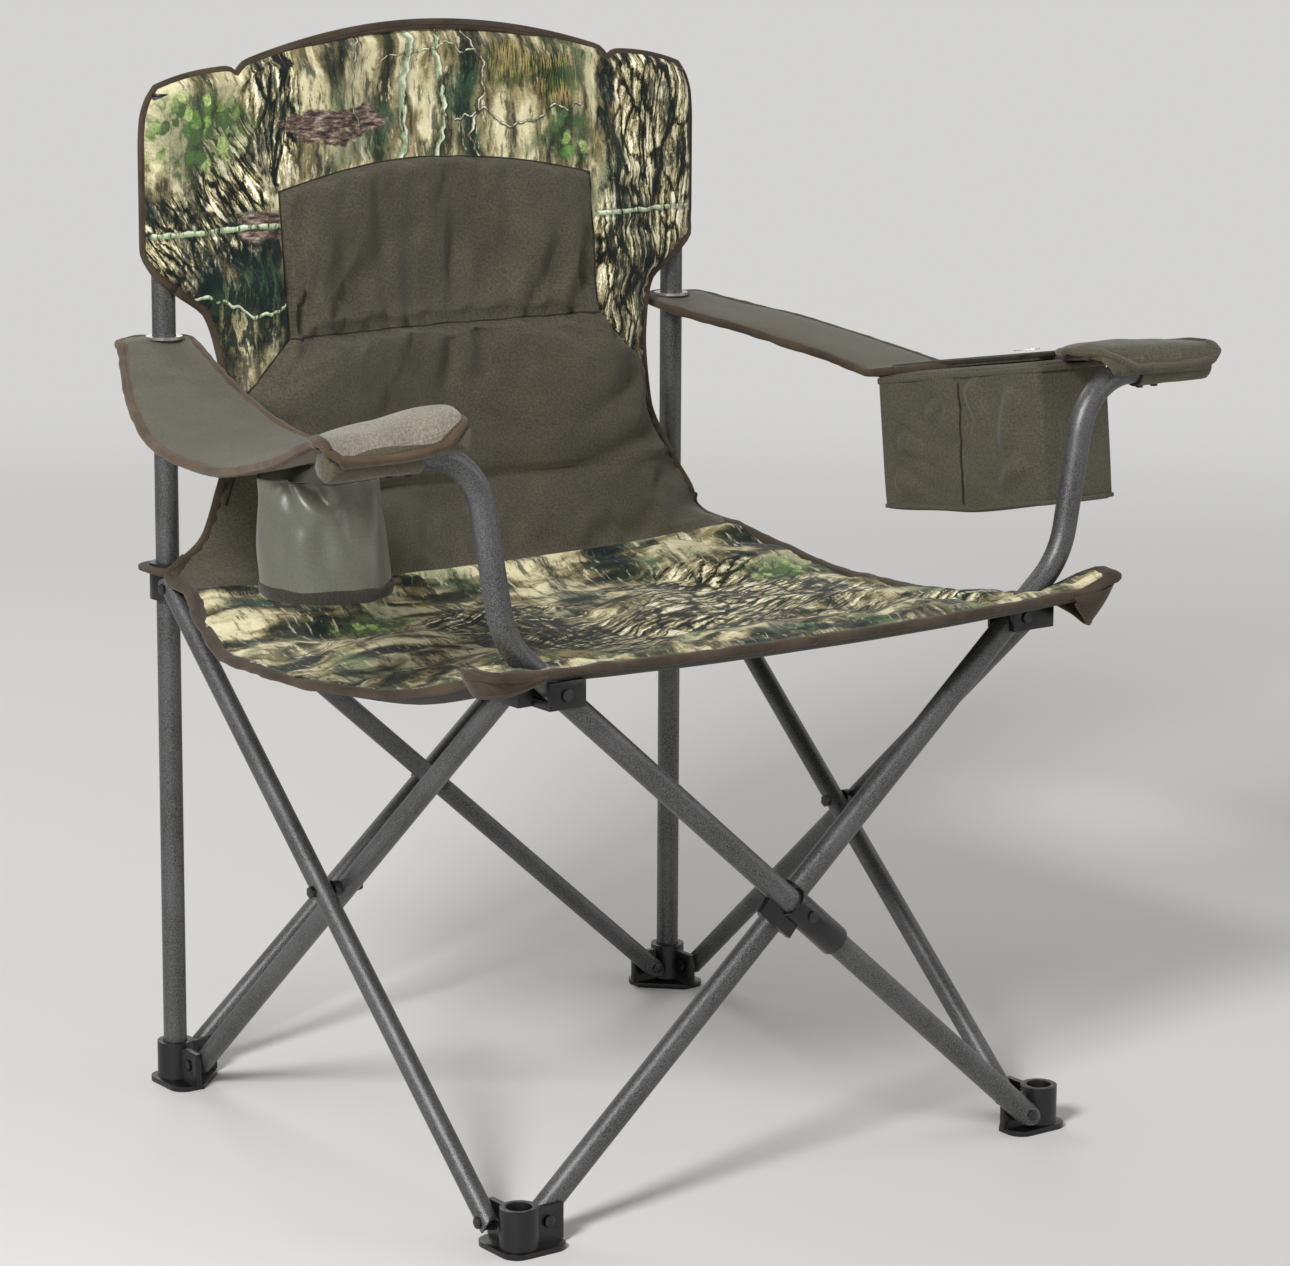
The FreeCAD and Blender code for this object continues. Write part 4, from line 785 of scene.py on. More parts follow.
# ---------------------------------------------------------------- mesh from grids
def round_rim(rows, columns):
    """The (row, column) of every point round a grid's rim, in order."""
    return ([(r, 0) for r in range(rows + 1)] + [(rows, c) for c in range(1, columns + 1)]
            + [(r, columns) for r in range(rows - 1, -1, -1)]
            + [(0, c) for c in range(columns - 1, 0, -1)])


def whole(rows, columns):
    """A mask that leaves nothing of a grid out."""
    return np.ones((rows, columns), bool)


def grid(rows, columns, point):
    """The points of a grid, from a function of row and column."""
    return np.array([[point(r, c) for c in range(columns + 1)] for r in range(rows + 1)], float)


def mirrored(side, *layers):
    """Grids made for the right side, turned over where the side is the left."""
    if side > 0:
        return layers
    return [(layer * [-1, 1, 1])[:, ::-1] for layer in layers]


def mode(name):
    bpy.ops.object.mode_set(mode=name)


def soften(piece, width, **settings):
    """Bevels the edges of the active piece."""
    bevel = piece.modifiers.new("soft_edges", "BEVEL")
    bevel.width, bevel.segments = width, 2
    for key, setting in settings.items():
        setattr(bevel, key, setting)
    bpy.ops.object.modifier_apply(modifier="soft_edges")


def only(piece):
    """Selects one object, and nothing else."""
    bpy.ops.object.select_all(action="DESELECT")
    piece.select_set(True)
    bpy.context.view_layer.objects.active = piece


def new_object(name, bm, materials):
    """A smooth-shaded object from a mesh under way, with its materials in order."""
    mesh = bpy.data.meshes.new(name)
    bm.to_mesh(mesh)
    bm.free()
    made = bpy.data.objects.new(name, mesh)
    bpy.context.scene.collection.objects.link(made)
    for key in materials:
        mesh.materials.append(M[key])
    for face in mesh.polygons:
        face.use_smooth = True
    return made


class Sewn:
    """Collects the faces of one sewn piece: padded shells and lengths of binding."""

    def __init__(self, name, materials):
        self.name, self.keys = name, materials
        self.bm = bmesh.new()
        self.uv = self.bm.loops.layers.uv.new("cloth")
        self.given = []

    def face(self, verts, uvs, slot, normals=None):
        made = self.bm.faces.new(verts)
        made.material_index = slot
        for loop, uv in zip(made.loops, uvs):
            loop[self.uv].uv = uv
        self.given.append(normals or [(0, 0, 0)] * len(verts))

    def shell(self, top, under, uv, mask, pick):
        """Both layers of a grid where mask is true, with walls round the rim.

        top and under are rows of points with the outer face up; pick(row, column, layer)
        names the material slot."""
        up, down = grid_normals(top), -grid_normals(under)
        verts = {}

        def vert(layer, r, c):
            key = (layer, r, c)
            if key not in verts:
                verts[key] = self.bm.verts.new((top if layer == 0 else under)[r, c])
            return verts[key]

        rows, columns = mask.shape
        for r in range(rows):
            for c in range(columns):
                if not mask[r, c]:
                    continue
                ring = [(r, c), (r + 1, c), (r + 1, c + 1), (r, c + 1)]
                self.face([vert(0, *p) for p in ring], [uv[p] for p in ring],
                          pick(r, c, 0), [tuple(up[p]) for p in ring])
                back = ring[::-1]
                self.face([vert(1, *p) for p in back], [uv[p] for p in back],
                          pick(r, c, 1), [tuple(down[p]) for p in back])
                near = [(r, c - 1), (r + 1, c), (r, c + 1), (r - 1, c)]
                for side, (nr, nc) in enumerate(near):
                    inside = 0 <= nr < rows and 0 <= nc < columns and mask[nr, nc]
                    if inside:
                        continue
                    a, b = ring[side], ring[(side + 1) % 4]
                    self.face([vert(0, *b), vert(0, *a), vert(1, *a), vert(1, *b)],
                              [uv[b], uv[a], uv[a], uv[b]], pick(r, c, 0))

    def binding(self, path, up, slot, wide=0.0105, thick=0.0030, inset=0.55, closed=False,
                flip=False, waves=0.0):
        """A folded tape round an edge: path is its line, up the cloth's normal along it."""
        path, up = np.asarray(path, float), np.asarray(up, float)
        count = len(path)
        if closed:
            run = np.roll(path, -1, 0) - np.roll(path, 1, 0)
        else:
            run = np.gradient(path, axis=0)
        run /= np.linalg.norm(run, axis=1, keepdims=True)
        out = np.cross(run, up)
        if flip:
            out = -out
        out /= np.linalg.norm(out, axis=1, keepdims=True)
        up = np.cross(out, run) if not flip else np.cross(run, out)
        gone = np.concatenate([[0], np.cumsum(np.linalg.norm(np.diff(path, axis=0), axis=1))])
        spots = 14
        half = wide / 2
        turns = [2 * math.pi * k / spots for k in range(spots)]
        shape = [(math.copysign(abs(math.cos(a)) ** 0.55, math.cos(a)) * half,
                  math.copysign(abs(math.sin(a)) ** 0.8, math.sin(a)) * thick) for a in turns]
        rings = []
        for n in range(count):
            sway = 1 + waves * noise.noise(Vector(path[n]) * 70.0)
            base = path[n] - out[n] * (half * 2 * inset - half * 0.9)
            ring = [self.bm.verts.new(base + out[n] * (x * sway) + up[n] * (y * sway))
                    for x, y in shape]
            rings.append(ring)
        last = count if closed else count - 1
        for n in range(last):
            m = (n + 1) % count
            g0, g1 = gone[n], gone[n + 1] if n + 1 < count else gone[n] + 0.005
            for k in range(spots):
                j = (k + 1) % spots
                quad = [rings[n][k], rings[n][j], rings[m][j], rings[m][k]]
                near, far = half - shape[k][0], half - shape[j][0]
                marks = [(near, g0), (far, g0), (far, g1), (near, g1)]
                if flip:
                    quad, marks = quad[::-1], marks[::-1]
                self.face(quad, marks, slot)
        if not closed:
            for ring, turned in ((rings[0], flip), (rings[-1], not flip)):
                loop = ring if turned else ring[::-1]
                self.face(loop, [(0.0, 0.0)] * spots, slot)

    def done(self):
        made = new_object(self.name, self.bm, self.keys)
        flat = [tuple(n) for face in self.given for n in face]
        made.data.normals_split_custom_set(flat)
        return made


# ---------------------------------------------------------------- the sling's shape
PANEL_X, PANEL_CORNER, PANEL_CROWN = 0.177, 0.845, 0.868
SEAM_Z, SPLAY_Z, TURN_Z, TURN_Y = 0.709, 0.652, 0.560, 0.150
POCKET_X, NOTCH_X, HEM_Y = 0.262, 0.210, -0.330
EDGE_STRIP, POCKET_FOOT = 0.008, 0.765
BACK_EDGE = [(0.500, 0.300), (0.517, 0.283), (0.560, 0.262), (0.615, 0.241), (0.665, 0.239),
             (0.705, 0.244), (0.735, 0.253), (0.762, 0.288), (0.778, 0.305), (0.800, 0.311),
             (0.890, 0.311), (0.915, 0.3095), (0.932, 0.3045), (0.946, 0.295)]
EDGE_DEPTH = [(0.500, 0.240), (0.517, 0.241), (0.560, 0.2475), (0.615, 0.258), (0.680, 0.266),
              (0.735, 0.273), (0.776, 0.276), (0.795, 0.288), (1.000, 0.288)]
SEAT_EDGE = [(0.201, 0.318), (0.150, 0.334), (0.073, 0.352), (-0.020, 0.353), (-0.111, 0.341),
             (-0.200, 0.323), (-0.255, 0.311), (-0.280, 0.322), (-0.302, 0.345), (-0.330, 0.337)]
SEAT_SIDE = [(0.201, 0.486), (0.150, 0.473), (0.073, 0.458), (-0.020, 0.459), (-0.111, 0.469),
             (-0.200, 0.484), (-0.263, 0.499), (-0.300, 0.513), (-0.330, 0.513)]
SEAT_MIDDLE = [(0.201, 0.468), (0.150, 0.461), (0.070, 0.457), (-0.020, 0.456), (-0.120, 0.464),
               (-0.220, 0.483), (-0.300, 0.498), (-0.330, 0.502)]
BACK_CREASES = [
    (46, 696, 64, 880, 24, 9), (-14, 696, -4, 800, 15, 7), (104, 696, 146, 812, 15, 8),
    (-94, 696, -104, 862, 24, 6), (-150, 706, -164, 850, 18, 5), (160, 720, 168, 856, 14, 5),
    (26, 690, 18, 900, 13, 9), (-34, 694, -22, 870, 13, 6), (62, 694, 90, 870, 12, 8),
    (104, 696, 156, 860, 11, 8), (-112, 696, -124, 860, 13, 6), (-160, 700, -168, 810, 9, 6),
    (146, 700, 172, 790, 9, 6), (-72, 850, -60, 720, 11, 4), (50, 862, 44, 760, 10, 4),
    (22, 704, 30, 822, 9, 7), (52, 707, 96, 776, 7, 5), (98, 706, 158, 790, 8, 6),
    (146, 702, 174, 752, 6, 5), (-118, 707, -140, 778, 8, 4.5), (-60, 706, -70, 762, 6, 4),
    (-160, 704, -174, 760, 6, 4), (8, 714, -2, 590, 10, 10), (40, 712, 50, 622, 8, 8),
    (-64, 710, -84, 606, 10, 4.5), (-20, 712, -30, 650, 6, 3.5), (112, 712, 190, 650, 9, 6),
    (226, 646, 118, 592, 12, 10), (240, 592, 96, 540, 14, 11), (-226, 640, -118, 594, 12, 8),
    (-252, 574, -130, 540, 14, 6), (-150, 706, -216, 650, 9, 5), (262, 550, 140, 518, 12, 9),
    (200, 900, 250, 860, 10, 3), (-215, 880, -250, 830, 10, 3), (190, 704, 228, 748, 7, 4),
    (-190, 704, -228, 748, 7, 4), (96, 940, 80, 900, 9, 2), (-90, 940, -104, 896, 9, 2),
]
SEAT_CREASES = [
    (305, -262, 180, -140, 12, 8), (-305, -262, -180, -140, 12, 8), (318, -20, 190, -6, 16, 5),
    (-318, -20, -190, -6, 16, 5), (60, -318, 24, -210, 10, 5), (-120, -318, -84, -224, 9, 5),
    (180, -318, 134, -236, 9, 5), (-220, -318, -176, -246, 8, 5), (250, 120, 110, 52, 16, 6),
    (-250, 120, -110, 52, 16, 6), (-20, -318, -8, -240, 8, 4), (240, -318, 210, -262, 7, 4),
    (-280, -120, -200, -60, 12, 4), (290, -140, 214, -70, 12, 4), (40, 150, -60, 120, 12, 4),
]


def arch_line(x):
    """The height of the panel's arched upper seam."""
    return PANEL_CROWN - (PANEL_CROWN - PANEL_CORNER) * (np.abs(x) / PANEL_X) ** 2


def top_line(x):
    """The back's upper edge: an arch, a small notch, and a shoulder over each post."""
    x = np.abs(x)
    arch = 0.995 - 0.034 * (x / NOTCH_X) ** 2
    shoulder = 0.9595 - 0.0140 * np.clip((x - NOTCH_X) / 0.085, 0, 1) ** 2.2
    notch = 0.006 * np.exp(-((x - NOTCH_X) / 0.006) ** 2)
    step = ease((x - NOTCH_X + 0.004) / 0.008)
    return arch * (1 - step) + shoulder * step - notch


def side_lines(z):
    """Half-widths of a back row at its panel seam, its post pocket and its edge."""
    edge = curve(z, BACK_EDGE)
    pocket = np.minimum(POCKET_X, edge - EDGE_STRIP)
    rising = PANEL_X + (NOTCH_X - PANEL_X) * np.clip((z - PANEL_CORNER) / 0.110, 0, 1)
    splay = np.clip((SEAM_Z - z) / (SEAM_Z - SPLAY_Z), 0, 1)
    panel = rising + (pocket - 0.001 - rising) * splay
    return panel, pocket, edge


def back_layers(x, z):
    """Depth of the front and rear faces of the back at |x| and height z."""
    middle = 0.284 + 0.118 * (z - 0.845)
    inner = 0.270 + 0.118 * (z - 0.845)
    edge_x, edge_y = curve(z, BACK_EDGE), curve(z, EDGE_DEPTH)
    bowed = middle + (inner - middle) * ease(x / PANEL_X)
    out = np.clip((x - PANEL_X) / (edge_x - PANEL_X), 0, 1)
    slim = inner + (edge_y - inner) * out ** 2.5
    held = inner + (0.2735 - inner) * ease((x - PANEL_X) / (POCKET_X - PANEL_X))
    pocketed = ease((z - 0.756) / 0.034)
    front = np.where(x < PANEL_X, bowed, slim * (1 - pocketed) + held * pocketed)
    pad = 0.016 * ease((edge_x - x) / 0.05) + 0.003
    rear = front + pad
    cover = ease((x - 0.236) / 0.030) * pocketed
    rear = rear * (1 - cover) + 0.3025 * cover
    # the rim closes round
    to_rim = np.minimum(edge_x - x, top_line(x) - z)
    closing = rounding(to_rim, 0.012 + 0.009 * cover)
    middle = (front + rear) / 2
    middle = middle * closing + (edge_y * 0.6 + middle * 0.4) * (1 - closing)
    half = np.maximum((rear - front) / 2 * closing, 0.0022)
    return middle - half, middle + half


def sling_grid():
    """Points of the whole sling, from its top edge down, forward and out to the front hem."""
    inner, strip, outer = 44, 14, 9
    u = np.concatenate([np.linspace(0, 1, inner + 1), 1 + np.linspace(0, 1, strip + 1)[1:],
                        2 + np.linspace(0, 1, outer + 1)[1:]])
    u = np.concatenate([-u[:0:-1], u])
    size = np.abs(u)

    def across(panel, pocket, edge):
        return np.where(size <= 1, size * panel,
                        np.where(size <= 2, panel + (size - 1) * (pocket - panel),
                                 pocket + (size - 2) * (edge - pocket)))

    rows_top, rows_mid, rows_low, rows_turn, rows_seat = 22, 24, 26, 24, 74
    heights = [(kind, n / rows) for kind, rows in
               (("top", rows_top), ("mid", rows_mid), ("low", rows_low)) for n in range(rows)]
    front, rear = [], []
    for kind, share in heights:
        if kind == "low":
            z = np.full(u.shape, SEAM_Z + (TURN_Z - SEAM_Z) * share)
            x = across(*side_lines(z))
        else:
            # the row's height bends with the arch, so place and height are settled together
            z = np.full(u.shape, PANEL_CORNER)
            for _ in range(12):
                x = across(*side_lines(z))
                lifted = np.where(size <= 1, arch_line(np.minimum(x, PANEL_X)), PANEL_CORNER)
                if kind == "top":
                    z = top_line(x) * (1 - share) + lifted * share
                else:
                    z = lifted * (1 - share) + SEAM_Z * share
        y0, y1 = back_layers(x, z)
        front.append(np.stack([np.sign(u) * x, y0, z], -1))
        rear.append(np.stack([np.sign(u) * x, y1, z], -1))

    def seat_row(y):
        edge = curve(y, SEAT_EDGE)
        x = across(edge - EDGE_STRIP - 0.001, edge - EDGE_STRIP, edge)
        reach = x / edge
        z = curve(y, SEAT_MIDDLE) + (curve(y, SEAT_SIDE) - curve(y, SEAT_MIDDLE)) * reach ** 2.2
        thick = 0.004 + 0.008 * rounding((edge - x), 0.045)
        yy = np.full(u.shape, y)
        return x, yy, z, thick

    def back_row(z):
        z = np.full(u.shape, z)
        x = across(*side_lines(z))
        y0, y1 = back_layers(x, z)
        return x, y0, z, y1 - y0

    x0, y0, z0, t0 = back_row(TURN_Z)
    xa, ya, za, _ = back_row(TURN_Z + 0.015)
    x3, y3, z3, t3 = seat_row(TURN_Y)
    xb, yb, zb, _ = seat_row(TURN_Y - 0.015)
    p0, p3 = np.stack([x0, y0, z0], -1), np.stack([x3, y3, z3], -1)
    p1 = p0 + (p0 - np.stack([xa, ya, za], -1)) * 3.2
    p2 = p3 + (p3 - np.stack([xb, yb, zb], -1)) * 4.2
    for n in range(rows_turn):
        w = n / rows_turn
        p = (p0 * (1 - w) ** 3 + p1 * 3 * w * (1 - w) ** 2 + p2 * 3 * w * w * (1 - w)
             + p3 * w ** 3)
        pull = math.exp(-((w - 0.45) / 0.15) ** 2) * (p[:, 0] / p[-1, 0]) ** 14
        p = p + pull[:, None] * np.array([0.010, 0.034, -0.010])
        slope = (-3 * p0 * (1 - w) ** 2 + 3 * p1 * ((1 - w) ** 2 - 2 * w * (1 - w))
                 + 3 * p2 * (2 * w * (1 - w) - w * w) + 3 * p3 * w * w)
        away = np.stack([np.zeros_like(slope[:, 1]), -slope[:, 2], slope[:, 1]], -1)
        away /= np.linalg.norm(away, axis=1, keepdims=True)
        thick = t0 * (1 - w) + t3 * w
        under = p + away * thick[:, None]
        flip = np.stack([np.sign(u), np.ones_like(u), np.ones_like(u)], -1)
        front.append(p * flip)
        rear.append(under * flip)
    hem_bow = 0.010
    for n in range(rows_seat + 1):
        share = n / rows_seat
        y = TURN_Y + (HEM_Y - TURN_Y) * share
        x, yy, z, thick = seat_row(y)
        yy = yy + hem_bow * (1 - (x / 0.33) ** 2) * ease((share - 0.6) / 0.4)
        rim = rounding(np.full(u.shape, y - HEM_Y), 0.016)
        thick = np.maximum(thick * rim, 0.0044)
        front.append(np.stack([np.sign(u) * x, yy, z], -1))
        rear.append(np.stack([np.sign(u) * x, yy, z - thick], -1))
    front, rear = np.array(front), np.array(rear)
    lines = {"arch": rows_top, "seam": rows_top + rows_mid,
             "turn": rows_top + rows_mid + rows_low,
             "seat": rows_top + rows_mid + rows_low + rows_turn,
             "inner": inner, "strip": inner + strip, "half": len(u) // 2}
    return front, rear, lines, size


PUFF = {"panel": 0.0115, "print": 0.0038, "seat": 0.005, "pocket": 0.0008}
PUFF_ROUND = 0.020
# where the brown cloth ends and where the seat's pieces start, as shares of the turn's rows
BROWN_SHARE, SEAT_SHARE = 0.66, 0.36
DEEPEST_AT_SEAM, DEEPEST_MORE, SEAM_REACH = 0.0045, 0.0085, 0.035


def sew_sling():
    """Puffs and creases the sling's grid, and returns its layers, UV places and index lines."""
    front, rear, lines, size = sling_grid()
    x, y, z = (front[..., n] for n in range(3))
    ax = np.abs(x)
    on_back = np.arange(len(front))[:, None] < lines["turn"]
    normal = grid_normals(front)
    panel, _, edge = side_lines(np.maximum(z, TURN_Z))
    in_panel = (size[None, :] <= 1) & (np.arange(len(front))[:, None] >= lines["arch"])
    far = 0.3
    to_arch = np.where(ax < PANEL_X + 0.001, np.abs(z - arch_line(x)), far)
    to_arch = np.where(on_back, to_arch, far)
    to_seam = np.where((ax < PANEL_X - 0.004) & on_back, np.abs(z - SEAM_Z), far)
    fade = ease((ax - PANEL_X + 0.03) / 0.03)
    to_seam = to_seam + fade * 0.02
    to_side = np.where(on_back & (z > SPLAY_Z - 0.01), np.abs(ax - panel), far)
    count = len(front)
    brown_end = lines["turn"] + int(BROWN_SHARE * (lines["seat"] - lines["turn"]))
    step = np.linalg.norm(np.gradient(front[:, lines["half"]], axis=0), axis=1)
    gone = np.cumsum(step)
    to_brown = np.abs(gone - gone[brown_end])[:, None] + np.zeros_like(x)
    rim = np.where(on_back, np.minimum(edge - ax, top_line(x) - z), far)
    rim = np.where(~on_back, np.abs(np.abs(x) - np.abs(x[:, -1:])), rim)
    rim = np.minimum(rim, (gone[-1] - gone)[:, None])
    near = np.minimum.reduce([to_arch, to_seam, to_side, to_brown, np.maximum(rim - 0.008, 0)])
    full = np.where(in_panel, PUFF["panel"], PUFF["print"])
    full = np.where(~on_back, PUFF["seat"], full)
    pocketed = on_back & (ax > 0.25) & (z > 0.75)
    full = np.where(pocketed, PUFF["pocket"], full)
    lift = full * rounding(near, PUFF_ROUND)
    fold = np.where(on_back, creases(x, z, BACK_CREASES), creases(x, y, SEAT_CREASES))
    soft = ease(np.maximum(rim - 0.006, 0) / 0.03)
    wobble = (ripple(front, 9.0) * 0.0030 + ripple(front, 24.0, 5.0) * 0.0012) * soft
    wobble = np.where(pocketed, wobble * 0.15, wobble)
    upper = in_panel & on_back & (z > SEAM_Z)
    deepest = DEEPEST_AT_SEAM + DEEPEST_MORE * ease(to_seam / SEAM_REACH)
    fold = np.where(pocketed, 0, np.minimum(np.where(upper, 1.35 * fold, fold), deepest))
    lift = lift + wobble
    # the left side edge hangs a little lower in front, the right front corner stands up
    uneven = -0.010 * np.exp(-((y + 0.17) / 0.10) ** 2) * ease((-x - 0.22) / 0.10)
    uneven = uneven + 0.009 * ease((x - 0.30) / 0.045) * ease((-0.262 - y) / 0.04)
    uneven = np.where(on_back, 0, uneven)
    front[..., 2] += uneven
    rear[..., 2] += uneven
    top = front + normal * lift[..., None]
    under_normal = grid_normals(rear)
    sag = 0.004 * ease(rim / 0.06) + ripple(rear, 12.0, 9.0) * 0.002 * soft
    sag = np.where(pocketed, 0, sag)
    under = rear - under_normal * sag[..., None]
    along = np.where(np.arange(count) < lines["turn"], front[:, lines["half"], 2], 0)
    start = front[lines["turn"], lines["half"], 2]
    for n in range(lines["turn"], count):
        along[n] = start - (gone[n] - gone[lines["turn"]])
    uv = np.stack([x, np.where(on_back, z, along[:, None] + np.zeros_like(x))], -1)
    return top, under, uv, lines, brown_end, grid_normals(front), fold * soft


SINK, SWELL, LONGEST_MOVE = 0.006, 0.010, 0.014
SIMULATED_FRAMES = 20


def billow(top, lines, brown_end):
    """Lets the front cloth swell and wrinkle between its seams, as padded cloth does."""
    rows, columns = top.shape[:2]
    spots = np.arange(rows * columns).reshape(rows, columns)
    quads = np.stack([spots[:-1, :-1], spots[1:, :-1], spots[1:, 1:], spots[:-1, 1:]], -1)
    mesh = bpy.data.meshes.new("loose_cloth")
    mesh.from_pydata(top.reshape(-1, 3).tolist(), [], quads.reshape(-1, 4).tolist())
    loose = bpy.data.objects.new("loose_cloth", mesh)
    bpy.context.scene.collection.objects.link(loose)
    fixed = np.zeros((rows, columns), bool)
    fixed[:2] = fixed[-3:] = True
    fixed[:, :3] = fixed[:, -3:] = True
    left, right = lines["half"] - lines["inner"], lines["half"] + lines["inner"]
    for row in (lines["arch"], lines["seam"], brown_end):
        fixed[row, left:right + 1] = True
    fixed[lines["arch"]:lines["turn"], [left, right]] = True
    sleeves = (np.abs(top[..., 0]) > 0.245) & (top[..., 2] > 0.745)
    fixed |= sleeves
    held = loose.vertex_groups.new(name="held")
    held.add(spots[fixed].tolist(), 1.0, "REPLACE")
    only(loose)
    bpy.ops.object.modifier_add(type="CLOTH")
    swelling = loose.modifiers[-1]
    fabric = swelling.settings
    fabric.quality = 6
    fabric.mass = 0.25
    fabric.tension_stiffness = fabric.compression_stiffness = 12
    fabric.shear_stiffness = 4
    fabric.bending_stiffness = 0.08
    fabric.shrink_min = -0.03
    fabric.use_pressure = True
    fabric.uniform_pressure_force = 0.35
    fabric.effector_weights.gravity = 0
    fabric.vertex_group_mass = "held"
    swelling.collision_settings.use_collision = False
    for number in range(1, SIMULATED_FRAMES + 1):
        bpy.context.scene.frame_set(number)
    bpy.ops.object.modifier_apply(modifier=swelling.name)
    after = np.array([v.co for v in mesh.vertices]).reshape(rows, columns, 3)
    bpy.context.scene.frame_set(1)
    bpy.data.objects.remove(loose)
    moved = after - top
    normal = grid_normals(top)
    outward = (moved * normal).sum(-1)
    wanted = np.clip(outward, -SINK, SWELL)
    moved = moved + normal * (wanted - outward)[..., None]
    long = np.linalg.norm(moved, axis=-1, keepdims=True)
    return top + moved * np.minimum(1, LONGEST_MOVE / np.maximum(long, 1e-9))


TOP, UNDER, CLOTH_UV, LINES, BROWN_END, FACING, FOLDS = sew_sling()
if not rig.quick():
    TOP = billow(TOP, LINES, BROWN_END)
TOP = TOP - grid_normals(TOP) * FOLDS[..., None]
MID = (TOP + UNDER) / 2
ROWS, COLUMNS = TOP.shape[0] - 1, TOP.shape[1] - 1
CENTRE = LINES["half"]
POCKET_LEFT, POCKET_RIGHT = CENTRE - LINES["strip"], CENTRE + LINES["strip"]
PANEL_LEFT, PANEL_RIGHT = CENTRE - LINES["inner"], CENTRE + LINES["inner"]
POCKET_END = int(np.argmax((TOP[:, -1, 2] < POCKET_FOOT)))
SEAT_START = LINES["turn"] + int(SEAT_SHARE * (LINES["seat"] - LINES["turn"]))
ROW, COLUMN = np.mgrid[0:ROWS, 0:COLUMNS]
pocket_area = (ROW < POCKET_END) & ((COLUMN < POCKET_LEFT) | (COLUMN >= POCKET_RIGHT))
panel_area = ((ROW >= LINES["arch"]) & (ROW < SEAT_START)
              & (COLUMN >= PANEL_LEFT) & (COLUMN < PANEL_RIGHT))
back_area = (ROW < SEAT_START) & ~pocket_area & ~panel_area



def belongs(piece, body, nodes=(), slot=None, fill=None, squash=None):
    """Says which body a piece rides, what it replaces, its slot, its padding and its squash."""
    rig.ride(piece, body)
    if nodes:
        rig.replaces(piece, *nodes)
    if slot:
        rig.slot(piece, slot)
    if fill:
        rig.padded(piece, fill=fill)
    if squash:
        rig.squash(piece, joint="fold", **squash)


def edge_path(rows, columns):
    """The rim's points there, and the way that its binding lies."""
    ups = []
    for r, c in zip(rows, columns):
        turned = float(ease((r - LINES["turn"] + 6) / 12))
        ups.append(FACING[r, c] * turned + np.array([0, -0.99, 0.12]) * (1 - turned))
    return [MID[r, c] for r, c in zip(rows, columns)], ups


def sew_back():
    """The printed back, its lining and its bound rims."""
    sling = Sewn("back_sling", ["woodland", "under", "binding", "brown"])
    sling.shell(TOP, UNDER, CLOTH_UV, back_area,
                lambda r, c, layer: layer if layer or TOP[r, CENTRE, 2] > SPLAY_Z - 0.012 else 3)
    # the lining behind the panel
    sling.shell(TOP + (UNDER - TOP) * 0.57, UNDER, CLOTH_UV, panel_area, lambda r, c, layer: 1)
    top_columns = list(range(POCKET_RIGHT, POCKET_LEFT - 1, -1))
    sling.binding(*edge_path([0] * len(top_columns), top_columns), 2)
    for column in (0, COLUMNS):
        rows = list(range(POCKET_END, SEAT_START + 1))
        sling.binding(*edge_path(rows, [column] * len(rows)), 2, flip=column != 0)
    return sling.done()


def sew_panel():
    """The brown padded panel, with a thin dark line along each of its seams that is painted shadow in the seam's
    groove.
    """
    panel = Sewn("back_panel", ["brown", "thread"])
    inner = TOP + (UNDER - TOP) * 0.55
    panel.shell(TOP, inner, CLOTH_UV, panel_area, lambda r, c, layer: 0)
    normal = grid_normals(TOP)
    span = list(range(PANEL_LEFT, PANEL_RIGHT + 1))
    down = list(range(LINES["arch"], LINES["turn"] + 1))
    # painted shadow: a thin dark tape along the arch, the cross seam and both sides of the panel
    for rows, columns in (([LINES["arch"]] * len(span), span), ([LINES["seam"]] * len(span), span),
                          (down, [PANEL_LEFT] * len(down)), (down, [PANEL_RIGHT] * len(down))):
        path = [TOP[r, c] + normal[r, c] * 0.0002 for r, c in zip(rows, columns)]
        panel.binding(path, [normal[r, c] for r, c in zip(rows, columns)], 1, wide=0.0020,
                      thick=0.0009, inset=0.45)
    return panel.done()


def sew_pocket(side, name):
    """The sleeve at a side of the back that slips over a post's top."""
    sleeve = Sewn("post_sleeve_" + name, ["woodland", "under", "binding"])
    mask = pocket_area & ((COLUMN < CENTRE) if side < 0 else (COLUMN >= CENTRE))
    sleeve.shell(TOP, UNDER, CLOTH_UV, mask, lambda r, c, layer: layer)
    columns = list(range(POCKET_LEFT, 0, -1) if side < 0 else range(POCKET_RIGHT, COLUMNS))
    rows = [0] * len(columns) + list(range(POCKET_END + 1))
    columns += [0 if side < 0 else COLUMNS] * (POCKET_END + 1)
    sleeve.binding(*edge_path(rows, columns), 2, flip=side > 0)
    return sleeve.done()


def sew_seat(side, name):
    """One half of the seat, brown to the fold and printed in front of it."""
    seat = Sewn("seat_sling_" + name, ["woodland", "brown", "under", "binding"])
    mask = (ROW >= SEAT_START) & ((COLUMN < CENTRE) if side < 0 else (COLUMN >= CENTRE))
    seat.shell(TOP, UNDER, CLOTH_UV, mask,
               lambda r, c, layer: 2 if layer else (1 if r < BROWN_END else 0))
    rows = list(range(SEAT_START, ROWS + 1))
    edge = 0 if side < 0 else COLUMNS
    columns = [edge] * len(rows)
    hem = list(range(1, CENTRE + 1)) if side < 0 else list(range(COLUMNS - 1, CENTRE - 1, -1))
    rows += [ROWS] * len(hem)
    columns += hem
    seat.binding(*edge_path(rows, columns), 3, flip=side > 0, wide=0.014, thick=0.0040, waves=0.35)
    return seat.done()


